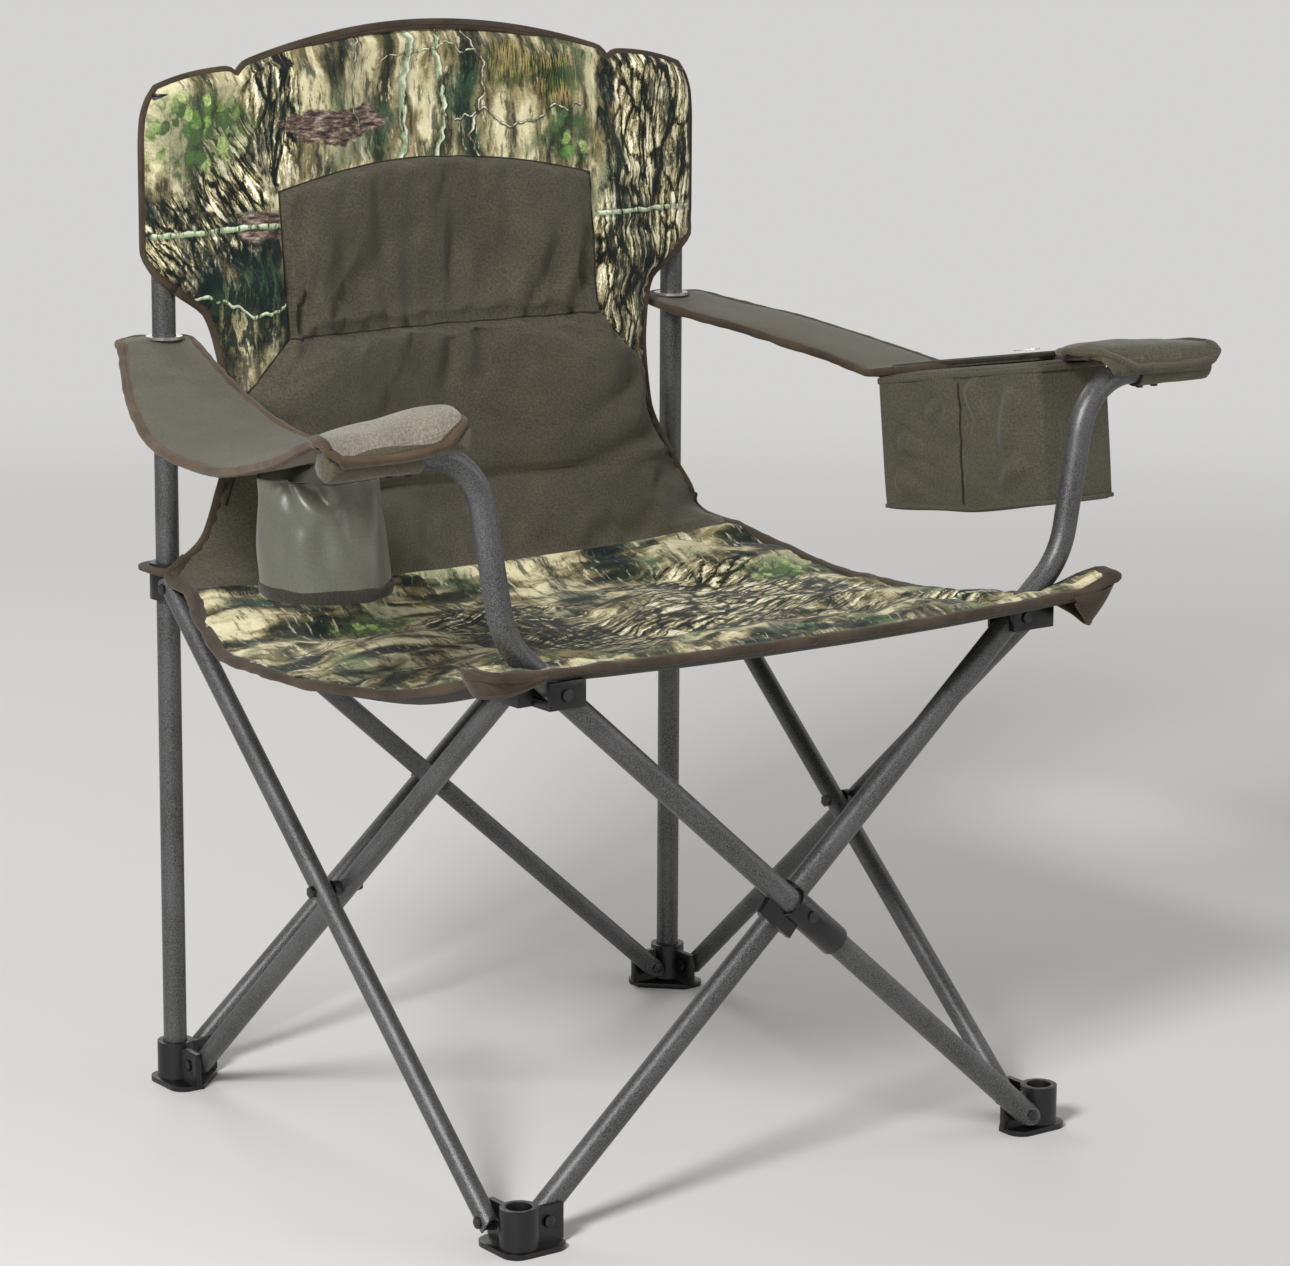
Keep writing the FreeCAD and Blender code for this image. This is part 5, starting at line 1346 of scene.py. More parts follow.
for piece, shape, slot, fill in ((sew_back(), "shell", "woodland_fabric", 0.4),
                                 (sew_panel(), "pad", "brown_fabric", 0.5)):
    belongs(piece, "left_post", [f"back_{shape}_left", f"back_{shape}_right"], slot, fill,
            dict(axis=(1, 0, 0), anchor=(-POCKET_X, REAR_Y, 0), keep=0.082))
for side, name in SIDES:
    belongs(sew_pocket(side, name), name + "_post", ["post_pocket_" + name], "woodland_fabric", 0.3)
    belongs(sew_seat(side, name), name + "_seat", ["seat_" + name], "woodland_fabric", 0.35,
            dict(axis=(0, 1, 0), anchor=(0, REAR_Y, 0), keep=0.17))


# ---------------------------------------------------------------- armrest strips
STRIP_REAR_INNER, STRIP_REAR_OUTER = 0.262, 0.336
STRIP_MID_INNER, STRIP_MID_OUTER, STRIP_FRONT_INNER = 0.318, 0.432, 0.366
STRIP_HEIGHT, STRIP_DIP, STRIP_TILT, STRIP_THICK = 0.713, 0.050, 0.012, 0.004
STRIP_BACK = REAR_Y + 0.027
STRIP_FRONT_HEIGHT = ARM_LEVEL + SLEEVE_RADIUS + STRIP_THICK + 0.0005


def strip_edges(side, y):
    """Inner and outer edge, height and outer droop of an armrest strip at one place."""
    plane = ARM_Y[side]
    level_from = plane + SLEEVE_RADIUS + 0.004
    along = min(1, max(0, (REAR_Y - y) / (REAR_Y - plane)))
    inner = (STRIP_REAR_INNER * (1 - along) ** 2 + 2 * STRIP_MID_INNER * along * (1 - along)
             + STRIP_FRONT_INNER * along ** 2)
    inner -= 0.012 * float(ease((plane + 0.05 - y) / 0.05))
    swell = math.sin(math.pi / 2 * min(1, along * 2))
    outer = (STRIP_REAR_OUTER + (STRIP_MID_OUTER - STRIP_REAR_OUTER) * swell
             + (ARM_END - STRIP_MID_OUTER) * max(0, 2 * along - 1))
    sagging = min(1, max(0, (REAR_Y - y) / (REAR_Y - level_from)))
    held = STRIP_HEIGHT * (1 - sagging) + STRIP_FRONT_HEIGHT * sagging
    if y < plane:
        # the front end wraps over the sleeve
        wrap = SLEEVE_RADIUS + STRIP_THICK + 0.0005
        held = ARM_LEVEL + math.sqrt(max(0, wrap ** 2 - (y - plane) ** 2))
    if side < 0:
        dip = math.sin(math.pi * sagging)
        return inner, outer, held - STRIP_DIP * dip, STRIP_TILT * dip
    inner += 0.030 * float(ease((REAR_Y - y) / 0.20) * ease((y + 0.27) / 0.08))
    # the cooler's load draws the right strip straight, down to its rear end
    low = COOLER_HIGH.y + 0.007
    dip = min((REAR_Y - y) / (REAR_Y - low), (y - level_from) / (low - level_from))
    return inner, outer, held - STRIP_DIP * max(0, dip), 0


CUP = (CUP_LOW + CUP_HIGH) / 2
CUP_MOUTH = 0.044


def strip_top(side, x, y):
    """The height of an armrest strip's upper face."""
    inner, outer, height, tilt = strip_edges(side, y)
    return height - tilt * (abs(x) - inner) / (outer - inner)


def open_round(top, under, mask, x, y, radius):
    """Leaves a round hole in a strip's grid, its rim drawn onto the circle."""
    middle = (top[:-1, :-1] + top[1:, 1:]) / 2
    inside = np.hypot(middle[..., 0] - x, middle[..., 1] - y) < radius
    mask &= ~inside
    rows, columns = mask.shape
    for r in range(1, rows):
        for c in range(1, columns):
            around = inside[r - 1:r + 1, c - 1:c + 1]
            if around.any() and not around.all():
                for layer in (top, under):
                    away = layer[r, c, :2] - (x, y)
                    layer[r, c, :2] = np.array((x, y)) + away * radius / np.hypot(*away)


def pad_raise(side, x):
    """How far the front pad's inner end stands up."""
    return (0.006 if side < 0 else 0.001) * float(ease((0.430 - abs(x)) / 0.08))


def sew_armrest(side, name):
    """An armrest's long strip, with its opening for the cup or for the cooler's lid."""
    front_end = ARM_Y[side] - SLEEVE_RADIUS - 0.0042
    rows, columns = 170, 34
    top, under = np.zeros((rows + 1, columns + 1, 3)), np.zeros((rows + 1, columns + 1, 3))
    for r in range(rows + 1):
        even = r / rows
        y = STRIP_BACK + (front_end - STRIP_BACK) * (even - 0.14 * math.sin(2 * math.pi * even))
        inner, outer, height, tilt = strip_edges(side, y)
        ends = min(rounding(STRIP_BACK - y + 0.0001, 0.034), 1)
        tail = rounding(y - front_end + 0.0004, 0.016)
        middle, half = (inner + outer) / 2, (outer - inner) / 2
        half_in = half * (0.34 + 0.66 * ends) * (0.86 + 0.14 * tail)
        for c in range(columns + 1):
            u = 2 * c / columns - 1
            x = middle + u * half_in
            z = height - tilt * (x - inner) / (outer - inner)
            z += pad_raise(side, x) * float(ease((ARM_Y[side] + 0.075 - y) / 0.05))
            top[r, c] = (x, y, z)
            rim = min((1 - abs(u)) * half_in, STRIP_BACK - y, y - front_end)
            thick = 0.0045 + 0.0030 * rounding(rim, 0.022)
            under[r, c] = (x, y, z - thick)
    lift = (0.0022 * rounding((1 - np.abs(np.linspace(-1, 1, columns + 1)))[None, :] * 0.05
                              + np.zeros((rows + 1, 1)), 0.03))
    wave = ripple(top, 14.0, 3.0 + side) * 0.0018
    top[..., 2] += lift + wave
    under[..., 2] += wave
    top, under = mirrored(side, top, under)
    uv = top[..., :2].copy()
    uv[..., 1] += top[..., 2]
    mask = whole(rows, columns)
    if side < 0:
        open_round(top, under, mask, CUP.x, CUP.y, CUP_MOUTH)
    else:
        middle_y = (top[:-1, :-1, 1] + top[1:, 1:, 1]) / 2
        middle_x = (top[:-1, :-1, 0] + top[1:, 1:, 0]) / 2
        mask = ~((middle_y > LID_LOW.y) & (middle_y < LID_HIGH.y)
                 & (middle_x > LID_LOW.x) & (middle_x < LID_HIGH.x))
    keys = ["olive_top" if side < 0 else "olive", "olive",
            "tan_binding" if side < 0 else "binding"]
    strip = Sewn("armrest_strip_" + name, keys)
    strip.shell(top, under, uv, mask, lambda r, c, layer: layer)
    middle = (top + under) / 2
    # round from one end of the front pad to the other
    pad_from = ARM_Y[side] + 0.006
    down = [(r, 0) for r in range(rows + 1) if top[r, 0, 1] > pad_from]
    far = [(r, columns) for r in range(rows + 1) if top[r, columns, 1] > pad_from]
    ring = far[::-1] + [(0, c) for c in range(columns - 1, 0, -1)] + down
    strip.binding([middle[p] for p in ring], [(0, 0, 1)] * len(ring), 2, wide=0.010,
                  thick=0.0040, waves=0.25)
    return strip.done()


PAD_FRONT = [(0.348, -0.284), (0.351, -0.298), (0.362, -0.318), (0.388, -0.3262), (0.440, -0.3266),
             (0.480, -0.3262), (0.492, -0.322)]
PAD_REAR = [(0.348, -0.272), (0.354, -0.258), (0.386, -0.241), (0.420, -0.233), (0.450, -0.246),
            (0.480, -0.280), (0.492, -0.308)]


def sew_pad(side, name):
    """The small padded rest sewn over the front of an armrest."""
    rows, columns = 24, 44
    near, far = PAD_FRONT[0][0], PAD_FRONT[-1][0]
    level = STRIP_FRONT_HEIGHT
    top, under = np.zeros((rows + 1, columns + 1, 3)), np.zeros((rows + 1, columns + 1, 3))
    for c in range(columns + 1):
        x = near + (far - near) * (0.5 - 0.5 * math.cos(math.pi * c / columns))
        shift = ARM_Y[side] - ARM_Y[-1]
        front, rear = curve(x, PAD_FRONT) + shift, curve(x, PAD_REAR) + shift
        ends = rounding(x - near + 0.002, 0.028) * ease((far + 0.01 - x) / 0.11)
        raised = pad_raise(side, x)
        full = 0.0115 if side < 0 else 0.0065
        for r in range(rows + 1):
            v = r / rows
            y = rear + (front - rear) * v
            laid = strip_top(side, x, y)
            crown = full * (1 - (2 * v - 1) ** 2) ** 0.7 * (0.12 + 0.88 * ends)
            behind = 0.35 * max(0, level - laid) * (y > ARM_Y[side])
            top[r, c] = (x, y, laid + behind + raised + crown + 0.0022)
            under[r, c] = (x, y, laid + raised + 0.0004)
    top[..., 2] += ripple(top, 30.0, 2.0 + side) * 0.0014
    uv = top[..., :2].copy()
    top, under = mirrored(side, top, under)
    pad = Sewn("arm_pad_" + name, ["pad_top" if side < 0 else "olive_top", "olive",
                                   "tan_binding" if side < 0 else "olive"])
    pad.shell(top, under, uv, whole(rows, columns), lambda r, c, layer: layer)
    ring = round_rim(rows, columns)
    up = grid_normals(top)
    pad.binding([(top[p] * 0.4 + under[p] * 0.6) for p in ring],
                [up[p] * 0.4 + np.array([0, 0, 0.6]) for p in ring], 2, wide=0.010,
                thick=0.0032, closed=True, waves=0.25)
    return pad.done()


strips, pads = {}, {}
for side, name in SIDES:
    strips[side] = sew_armrest(side, name)
    pads[side] = sew_pad(side, name)
mouth = Sewn("cup_mouth_binding", ["tan_binding"])
ring, ups = [], []
for k in range(64):
    a = 2 * math.pi * k / 64
    px, py = CUP.x + CUP_MOUTH * math.cos(a), CUP.y + CUP_MOUTH * math.sin(a)
    ring.append((px, py, strip_top(-1, px, py) - 0.002))
    ups.append((0, 0, 1))
mouth.binding(ring, ups, 0, wide=0.008, thick=0.0036, closed=True, flip=True)
cup_mouth = mouth.done()


# ---------------------------------------------------------------- cup holder
CUP_FOLDS = [
    (-46, 98, -2, 40, 10, 9), (-22, 98, 34, 62, 9, 9), (6, 62, 10, 4, 12, 4),
    (-32, 62, -38, 8, 12, 4), (34, 80, 36, 10, 12, 5), (56, 88, 48, 20, 12, 4),
    (-62, 88, -56, 16, 12, 4), (4, 94, 12, 66, 7, 4), (-48, 94, -52, 66, 8, 3),
]
FACING_WAY = math.radians(233.4)


def sew_cup():
    """The outer and inner faces of the hanging cup pouch, drawn into folds."""
    outside = (CUP_HIGH.x - CUP_LOW.x) / 2 + 0.0045
    height = CUP_HIGH.z - CUP_LOW.z + 0.007
    around, rows = 144, 60
    top = np.zeros((rows + 1, around + 1, 3))
    under = np.zeros_like(top)
    uv = np.zeros((rows + 1, around + 1, 2))
    for r in range(rows + 1):
        share = r / rows
        z = CUP_HIGH.z - height * share
        for c in range(around + 1):
            a = 2 * math.pi * (c % around) / around
            round_to = (a - FACING_WAY + math.pi) % (2 * math.pi) - math.pi
            drawn = float(creases(np.array(outside * round_to), np.array(z - CUP_LOW.z), CUP_FOLDS))
            folds = (0.0020 * math.sin(5 * a + 2.0 * share + 0.5) * (1 - 0.6 * share)
                     + 0.0008 * math.sin(9 * a - 3.0 * share + 1.0) * math.sin(math.pi * share)
                     + 0.0026 * noise.noise(Vector((math.cos(a) * 2, math.sin(a) * 2, share * 2.5))))
            radius = outside - 0.0035 + folds - drawn
            radius -= 0.005 * (1 - share) ** 2 + 0.003 * ease((share - 0.93) / 0.07)
            lean = 0.006 * (share - 0.3)
            x = CUP.x + radius * math.cos(a) + 0.80 * lean
            y = CUP.y + radius * math.sin(a) - 0.60 * lean
            top[r, c] = (x, y, z)
            under[r, c] = (x - 0.0018 * math.cos(a), y - 0.0018 * math.sin(a), z)
            uv[r, c] = (c / around * 2 * math.pi * outside, z)
    return top, under, uv


def cup_piece():
    """The pouch with its base, and the dark hem round the base."""
    top, under, uv = sew_cup()
    pouch = Sewn("cup_pouch", ["satin", "under"])
    rows, around = top.shape[0] - 1, top.shape[1] - 1
    bm = pouch.bm
    outer = [[bm.verts.new(top[r, c]) for c in range(around)] for r in range(rows + 1)]
    inner = [[bm.verts.new(under[r, c]) for c in range(around)] for r in range(rows + 1)]
    for r in range(rows):
        for c in range(around):
            d = (c + 1) % around
            spots = [uv[r, c], uv[r + 1, c], uv[r + 1, c + 1], uv[r, c + 1]]
            pouch.face([outer[r][c], outer[r + 1][c], outer[r + 1][d], outer[r][d]], spots, 0)
            pouch.face([inner[r][d], inner[r + 1][d], inner[r + 1][c], inner[r][c]],
                       spots[::-1], 0)
    for c in range(around):
        d = (c + 1) % around
        pouch.face([outer[0][d], inner[0][d], inner[0][c], outer[0][c]], [uv[0, c]] * 4, 0)
    # the base: two sagging discs
    for ring, drop, turned in ((outer[rows], -0.0005, False), (inner[rows], 0.0015, True)):
        middle = Vector((CUP.x + 0.0034, CUP.y - 0.0025, CUP_LOW.z - 0.007 + drop + 0.001))
        steps = 6
        previous = ring
        for n in range(1, steps):
            share = n / steps
            fresh = [bm.verts.new(Vector(v.co) * (1 - share) + middle * share) for v in ring]
            for c in range(around):
                d = (c + 1) % around
                quad = [previous[c], fresh[c], fresh[d], previous[d]]
                quad = quad[::-1] if turned else quad
                pouch.face(quad, [(v.co.x, v.co.y) for v in quad], 0)
            previous = fresh
        centre = bm.verts.new(middle)
        for c in range(around):
            d = (c + 1) % around
            tri = [previous[c], centre, previous[d]]
            tri = tri[::-1] if turned else tri
            pouch.face(tri, [(v.co.x, v.co.y) for v in tri], 0)
    made = pouch.done()
    hem = Sewn("cup_base_hem", ["under"])
    ring = [Vector(top[-1, c]) + Vector((0, 0, 0.005)) for c in range(around)]
    ups = [(Vector((p.x, p.y, 0)) - Vector((CUP.x, CUP.y, 0))).normalized() for p in ring]
    hem.binding(ring, ups, 0, wide=0.012, thick=0.0044, inset=0.45, closed=True, waves=0.12)
    return made, hem.done()


cup_pouch, cup_hem = cup_piece()


# ---------------------------------------------------------------- cooler
PITCH = math.radians(7)
BAG_PUFF, BAG_INSET, BAG_ROUND = 0.0028, 0.005, 0.005
BAG_FOLDS = [
    (88, 4, 14, -22, 12, 11), (96, -34, 36, -54, 12, 8), (20, 38, 58, 14, 10, 8),
    (-22, 52, -48, -4, 12, 10), (-88, 44, -56, -30, 14, 11), (-98, -16, -40, -52, 12, 8),
]


def loft_box(name, key, lengths, round_by, puff, seams, place, turn):
    """A soft box from a subdivided cube: crowned faces, rounded corners, sunk seams."""
    bpy.ops.mesh.primitive_cube_add(size=1)
    made = bpy.context.object
    made.name = name
    bm = bmesh.new()
    bm.from_mesh(made.data)
    bmesh.ops.subdivide_edges(bm, edges=bm.edges[:], cuts=55, use_grid_fill=True)
    half = Vector(lengths) / 2
    for v in bm.verts:
        p = Vector((v.co.x * lengths[0], v.co.y * lengths[1], v.co.z * lengths[2]))
        core = Vector([max(-half[k] + round_by, min(half[k] - round_by, p[k])) for k in range(3)])
        off = p - core
        if off.length > 1e-9:
            p = core + off.normalized() * round_by
        fx = 1 - (2 * p.x / lengths[0]) ** 2
        fy = 1 - (2 * p.y / lengths[1]) ** 2
        fz = 1 - (2 * p.z / lengths[2]) ** 2
        if abs(v.co.x) > 0.499:
            swell = puff * max(0, fy) ** 0.5 * max(0, fz) ** 0.5
            for seam in seams:
                swell -= puff * 1.1 * math.exp(-((p.y - seam) / 0.005) ** 2) * max(0, fz) ** 0.2
            swell -= min(1.1 * float(creases(np.array(p.y), np.array(p.z), BAG_FOLDS)), 0.010)
            swell += 0.008 * noise.noise(Vector((p.y * 22, p.z * 22, 4))) * max(0, fy) * max(0, fz)
            p.x += math.copysign(swell, p.x)
        elif abs(v.co.y) > 0.499:
            p.y += math.copysign(puff * max(0, fx) ** 0.5 * max(0, fz) ** 0.5, p.y)
        elif v.co.z < -0.499:
            p.z -= puff * 0.5 * max(0, fx) ** 0.5 * max(0, fy) ** 0.5
        wave = noise.noise(p * 16.0 + Vector((3, 1, 2))) * 0.0022
        p += Vector((wave, wave * 0.6, wave * 0.3))
        # the front end's lower edge hangs a little higher
        p.z += 0.008 * float(ease(-p.y / half.y) * ease(-p.z / half.z))
        v.co = p
    layer = bm.loops.layers.uv.verify()
    for face in bm.faces:
        n = face.normal
        for loop in face.loops:
            c = loop.vert.co
            if abs(n.x) > 0.7:
                loop[layer].uv = (c.y, c.z)
            elif abs(n.y) > 0.7:
                loop[layer].uv = (c.x, c.z)
            else:
                loop[layer].uv = (c.x, c.y)
    for v in bm.verts:
        upper = float(ease((v.co.z / lengths[2] - 0.05) / 0.45))
        v.co = place + turn @ v.co
        rim = place + turn @ Vector((0, (v.co.y - place.y) / math.cos(PITCH), lengths[2] / 2))
        v.co.z += upper * max(0, strip_top(1, v.co.x, v.co.y) - STRIP_THICK - 0.0015 - rim.z)
    bm.to_mesh(made.data)
    bm.free()
    made.data.uv_layers[0].name = "cloth"
    made.data.materials.append(M[key])
    for face in made.data.polygons:
        face.use_smooth = True
    return made


def cooler_size():
    """The bag's true length and height, from its box in the frame and its pitch."""
    deep, tall = COOLER_HIGH.y - COOLER_LOW.y, COOLER_HIGH.z - COOLER_LOW.z
    c, sn, both = math.cos(PITCH), math.sin(PITCH), math.cos(2 * PITCH)
    return (deep * c - tall * sn) / both, (tall * c - deep * sn) / both


cooler_long, cooler_tall = cooler_size()
cooler_wide = COOLER_HIGH.x - COOLER_LOW.x
cooler_place = (COOLER_LOW + COOLER_HIGH) / 2
COOLER_TURN = Matrix.Rotation(-PITCH, 3, "X")
cooler_bag = loft_box("cooler_bag", "cooler",
                      (cooler_wide - BAG_INSET, cooler_long - BAG_INSET, cooler_tall),
                      BAG_ROUND, BAG_PUFF, (-0.004,), cooler_place, COOLER_TURN)


def bag_ring(level):
    """Points round the bag's walls at one height above its middle."""
    half_x, half_y = cooler_wide / 2 - BAG_INSET / 2, cooler_long / 2 - BAG_INSET / 2
    bend = 0.007
    points = []
    for corner, (sx, sy) in enumerate(((1, 1), (-1, 1), (-1, -1), (1, -1))):
        for k in range(7):
            a = math.pi / 2 * (corner + k / 6)
            points.append((sx * (half_x - bend) + bend * math.cos(a),
                           sy * (half_y - bend) + bend * math.sin(a)))
    filled = []
    for n, point in enumerate(points):
        after = points[(n + 1) % len(points)]
        steps = max(1, int(math.dist(point, after) / 0.006))
        for k in range(steps):
            t = k / steps
            x, y = point[0] * (1 - t) + after[0] * t, point[1] * (1 - t) + after[1] * t
            swells = abs(y) > abs(x) * 2.6
            bulge = BAG_PUFF * max(0, 1 - (2 * x / cooler_wide) ** 2) ** 0.5 if swells else 0
            filled.append((Vector((x, y + math.copysign(bulge, y), level)), Vector((x, y, 0))))
    ring = [cooler_place + COOLER_TURN @ spot for spot, _ in filled]
    if level > 0:
        for spot in ring:
            spot.z = strip_top(1, spot.x, spot.y) - STRIP_THICK - 0.0075
    return ring, [COOLER_TURN @ way.normalized() for _, way in filled]


def sew_bag_trim():
    """The cooler's bound rim, and the piping round its base."""
    trim = Sewn("cooler_trim", ["thread", "cooler"])
    ring, ways = bag_ring(cooler_tall / 2 - 0.006)
    trim.binding(ring, ways, 1, wide=0.006, thick=0.0018, inset=0.45, closed=True, waves=0.3)
    ring, ways = bag_ring(-cooler_tall / 2 + 0.003)
    half_y = cooler_long / 2
    for spot in ring:
        local = COOLER_TURN.inverted() @ (spot - cooler_place)
        spot += COOLER_TURN @ Vector((0, 0, 0.008 * float(ease(-local.y / half_y))))
    trim.binding(ring, ways, 1, wide=0.004, thick=0.0018, inset=0.45, closed=True)
    for across in (-1, 1):
        seam = []
        for n in range(31):
            z = (n / 30 - 0.5) * (cooler_tall - 0.016)
            outside = cooler_place + COOLER_TURN @ Vector((across * 0.2, -0.004, z))
            found, spot, _, _ = cooler_bag.ray_cast(outside, Vector((-across, 0, 0)))
            if found:
                seam.append(spot)
        trim.binding(seam, [(across, 0, 0)] * len(seam), 0, wide=0.0026, thick=0.0012, inset=0.45)
    return trim.done()


cooler_trim = sew_bag_trim()


def sew_lid():
    """The flat lid panel that closes the cooler in the right strip."""
    rows, columns = 24, 12

    def point(r, c):
        y = LID_HIGH.y + (LID_LOW.y - LID_HIGH.y) * r / rows
        x = LID_LOW.x + (LID_HIGH.x - LID_LOW.x) * c / columns
        rim = min(min(r, rows - r) / rows * 0.2, min(c, columns - c) / columns * 0.08)
        return x, y, strip_top(1, x, y) + 0.0012 + 0.0015 * rounding(rim, 0.015)

    top = grid(rows, columns, point)
    under = top - np.array([0, 0, 0.0045])
    uv = top[..., :2]
    lid = Sewn("cooler_lid_panel", ["olive", "olive", "thread"])
    lid.shell(top, under, uv, whole(rows, columns), lambda r, c, layer: layer)
    ring = round_rim(rows, columns)
    lid.binding([top[p] for p in ring], [(0, 0, 1)] * len(ring), 2, wide=0.006, thick=0.0022,
                closed=True)
    return lid.done()


def bend_pull():
    """The zip's pull: a flat bright loop with rounded ends, lying at the lid's front corner."""
    bpy.ops.object.select_all(action="DESELECT")
    bpy.ops.mesh.primitive_cylinder_add(vertices=32, radius=0.0052, depth=0.0018,
                                        location=(0, 0, 0))
    pull = bpy.context.object
    pull.name = "zip_pull"
    mode("EDIT")
    bpy.ops.mesh.select_all(action="DESELECT")
    mode("OBJECT")
    for v in pull.data.vertices:
        v.select = v.co.x > 0.0001
    mode("EDIT")
    bpy.ops.transform.translate(value=(0.016, 0, 0))
    mode("OBJECT")
    for face in pull.data.polygons:
        face.select = abs(face.normal.z) > 0.9
    mode("EDIT")
    bpy.ops.mesh.select_mode(type="FACE")
    bpy.ops.mesh.inset(thickness=0.0016, depth=-0.0005)
    mode("OBJECT")
    soften(pull, 0.0004)
    x, y = LID_LOW.x - 0.011, LID_LOW.y + 0.015
    rise = math.atan2(strip_top(1, x, y) - strip_top(1, x, y + 0.04), 0.04)
    lay = Matrix.Rotation(-rise, 4, "X") @ Matrix.Rotation(math.radians(-62), 4, "Z")
    pull.data.transform(Matrix.Translation((x, y, strip_top(1, x, y) + 0.0075)) @ lay)
    pull.data.materials.append(M["eyelet"])
    bpy.ops.object.shade_smooth_by_angle(angle=math.radians(40))
    return pull


cooler_lid = sew_lid()
zip_pull = bend_pull()


def sew_sleeve(side, name):
    """The cloth tube round an arm tube's end, gathered where it is screwed."""
    low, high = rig.box("arm_sleeve_" + name)
    centre = (low + high) / 2
    around, rows = 36, 34
    sleeve = Sewn("arm_sleeve_cloth_" + name, ["olive", "under"])
    bm = sleeve.bm
    start, stop = (high.x, low.x) if side < 0 else (low.x, high.x)
    start += side * 0.010
    shells = []
    for radius0 in (SLEEVE_RADIUS, SLEEVE_RADIUS - 0.0022):
        rings = []
        for r in range(rows + 1):
            share = r / rows
            x = start + (stop - start) * share
            close = rounding((1 - share) * abs(stop - start), 0.006)
            ring = []
            for c in range(around):
                a = 2 * math.pi * c / around
                wave = 0.0005 * math.sin(3 * a + 9 * share) + 0.0006 * noise.noise(
                    Vector((x * 60, math.cos(a) * 2, math.sin(a) * 2)))
                radius = (radius0 + min(0.0, wave)) * (0.03 + 0.97 * close)
                ring.append(bm.verts.new((x, centre.y + radius * math.cos(a),
                                          centre.z + radius * math.sin(a))))
            rings.append(ring)
        shells.append(rings)
    for index, rings in enumerate(shells):
        for r in range(rows):
            for c in range(around):
                d = (c + 1) % around
                quad = [rings[r][c], rings[r][d], rings[r + 1][d], rings[r + 1][c]]
                if (index == 1) != (side < 0):
                    quad = quad[::-1]
                sleeve.face(quad, [(v.co.x, math.atan2(v.co.z - centre.z, v.co.y - centre.y)
                                    * SLEEVE_RADIUS) for v in quad], index)
    for ring_at, turned in ((0, False), (rows, True)):
        for c in range(around):
            d = (c + 1) % around
            quad = [shells[0][ring_at][c], shells[1][ring_at][c], shells[1][ring_at][d],
                    shells[0][ring_at][d]]
            if turned != (side < 0):
                quad = quad[::-1]
            sleeve.face(quad, [(0, 0)] * 4, 0)
    return sleeve.done()


def sew_tab(side, name):
    """The dark tab that holds the sling's rear corner down on its collar."""
    tab = Sewn("corner_tab_" + name, ["binding"])
    around, rows = 48, 8
    toward, hole = math.atan2(-0.030, 0.010), 0.0125

    def point(r, c):
        a = 2 * math.pi * (c % around) / around
        tongue = max(0, math.cos(a - toward)) ** 4
        radius = hole + (0.0275 + 0.007 * tongue - hole) * r / rows
        lift = 0.0012 + 0.0006 * rounding((1 - r / rows) * 0.015, 0.004)
        return (side * (HALF + radius * math.cos(a)), REAR_Y + radius * math.sin(a),
                TAB_LEVEL + lift - 0.003 * tongue * r / rows)

    top = grid(rows, around, point)
    if side > 0:
        top = top[:, ::-1]
    under = top - np.array([0, 0, 0.003])
    uv = top[..., :2]
    tab.shell(top, under, uv, whole(rows, around), lambda r, c, layer: 0)
    return tab.done()


def sew_corner(side, name):
    """The pouch of binding that hugs the outside of a front hub under the sling's corner."""
    rim = np.array([(0.288, -0.333, 0.507), (0.318, -0.333, 0.509), (0.342, -0.325, 0.512),
                    (0.352, -0.304, 0.513), (0.340, -0.280, 0.509), (0.318, -0.262, 0.502)])
    foot = np.array([(0.292, -0.330, 0.499), (0.306, -0.326, 0.486), (0.320, -0.317, 0.476),
                     (0.330, -0.303, 0.473), (0.328, -0.288, 0.479), (0.314, -0.270, 0.490)])
    if side < 0:
        foot = rim * 0.42 + foot * 0.58
    rows, columns = 8, 30
    top = np.zeros((rows + 1, columns + 1, 3))
    for c in range(columns + 1):
        t = c / columns * (len(rim) - 1)
        spots = range(len(rim))
        a = np.array([curve(t, list(zip(spots, rim[:, k]))) for k in range(3)])
        b = np.array([curve(t, list(zip(spots, foot[:, k]))) for k in range(3)])
        for r in range(rows + 1):
            share = r / rows
            bulge = math.sin(math.pi * share) * 0.002
            p = a * (1 - share) + b * share
            out = p - np.array([0.300, -0.294, p[2]])
            out /= np.linalg.norm(out)
            top[r, c] = p + out * bulge
    normal = grid_normals(top)
    outward = top - np.array([0.300, -0.294, 0.49])
    if (normal * outward).sum() < 0:
        top = top[:, ::-1]
        normal = grid_normals(top)
    under = top - normal * 0.0022
    top, under = mirrored(side, top, under)
    flap = Sewn("corner_flap_" + name, ["binding"])
    uv = np.stack([top[..., 1], top[..., 2]], -1)
    flap.shell(top, under, uv, whole(rows, columns), lambda r, c, layer: 0)
    flap.binding([(top[-1, c] + under[-1, c]) / 2 for c in range(columns + 1)],
                 [grid_normals(top)[-1, c] for c in range(columns + 1)], 0, wide=0.006,
                 thick=0.0020)
    return flap.done()


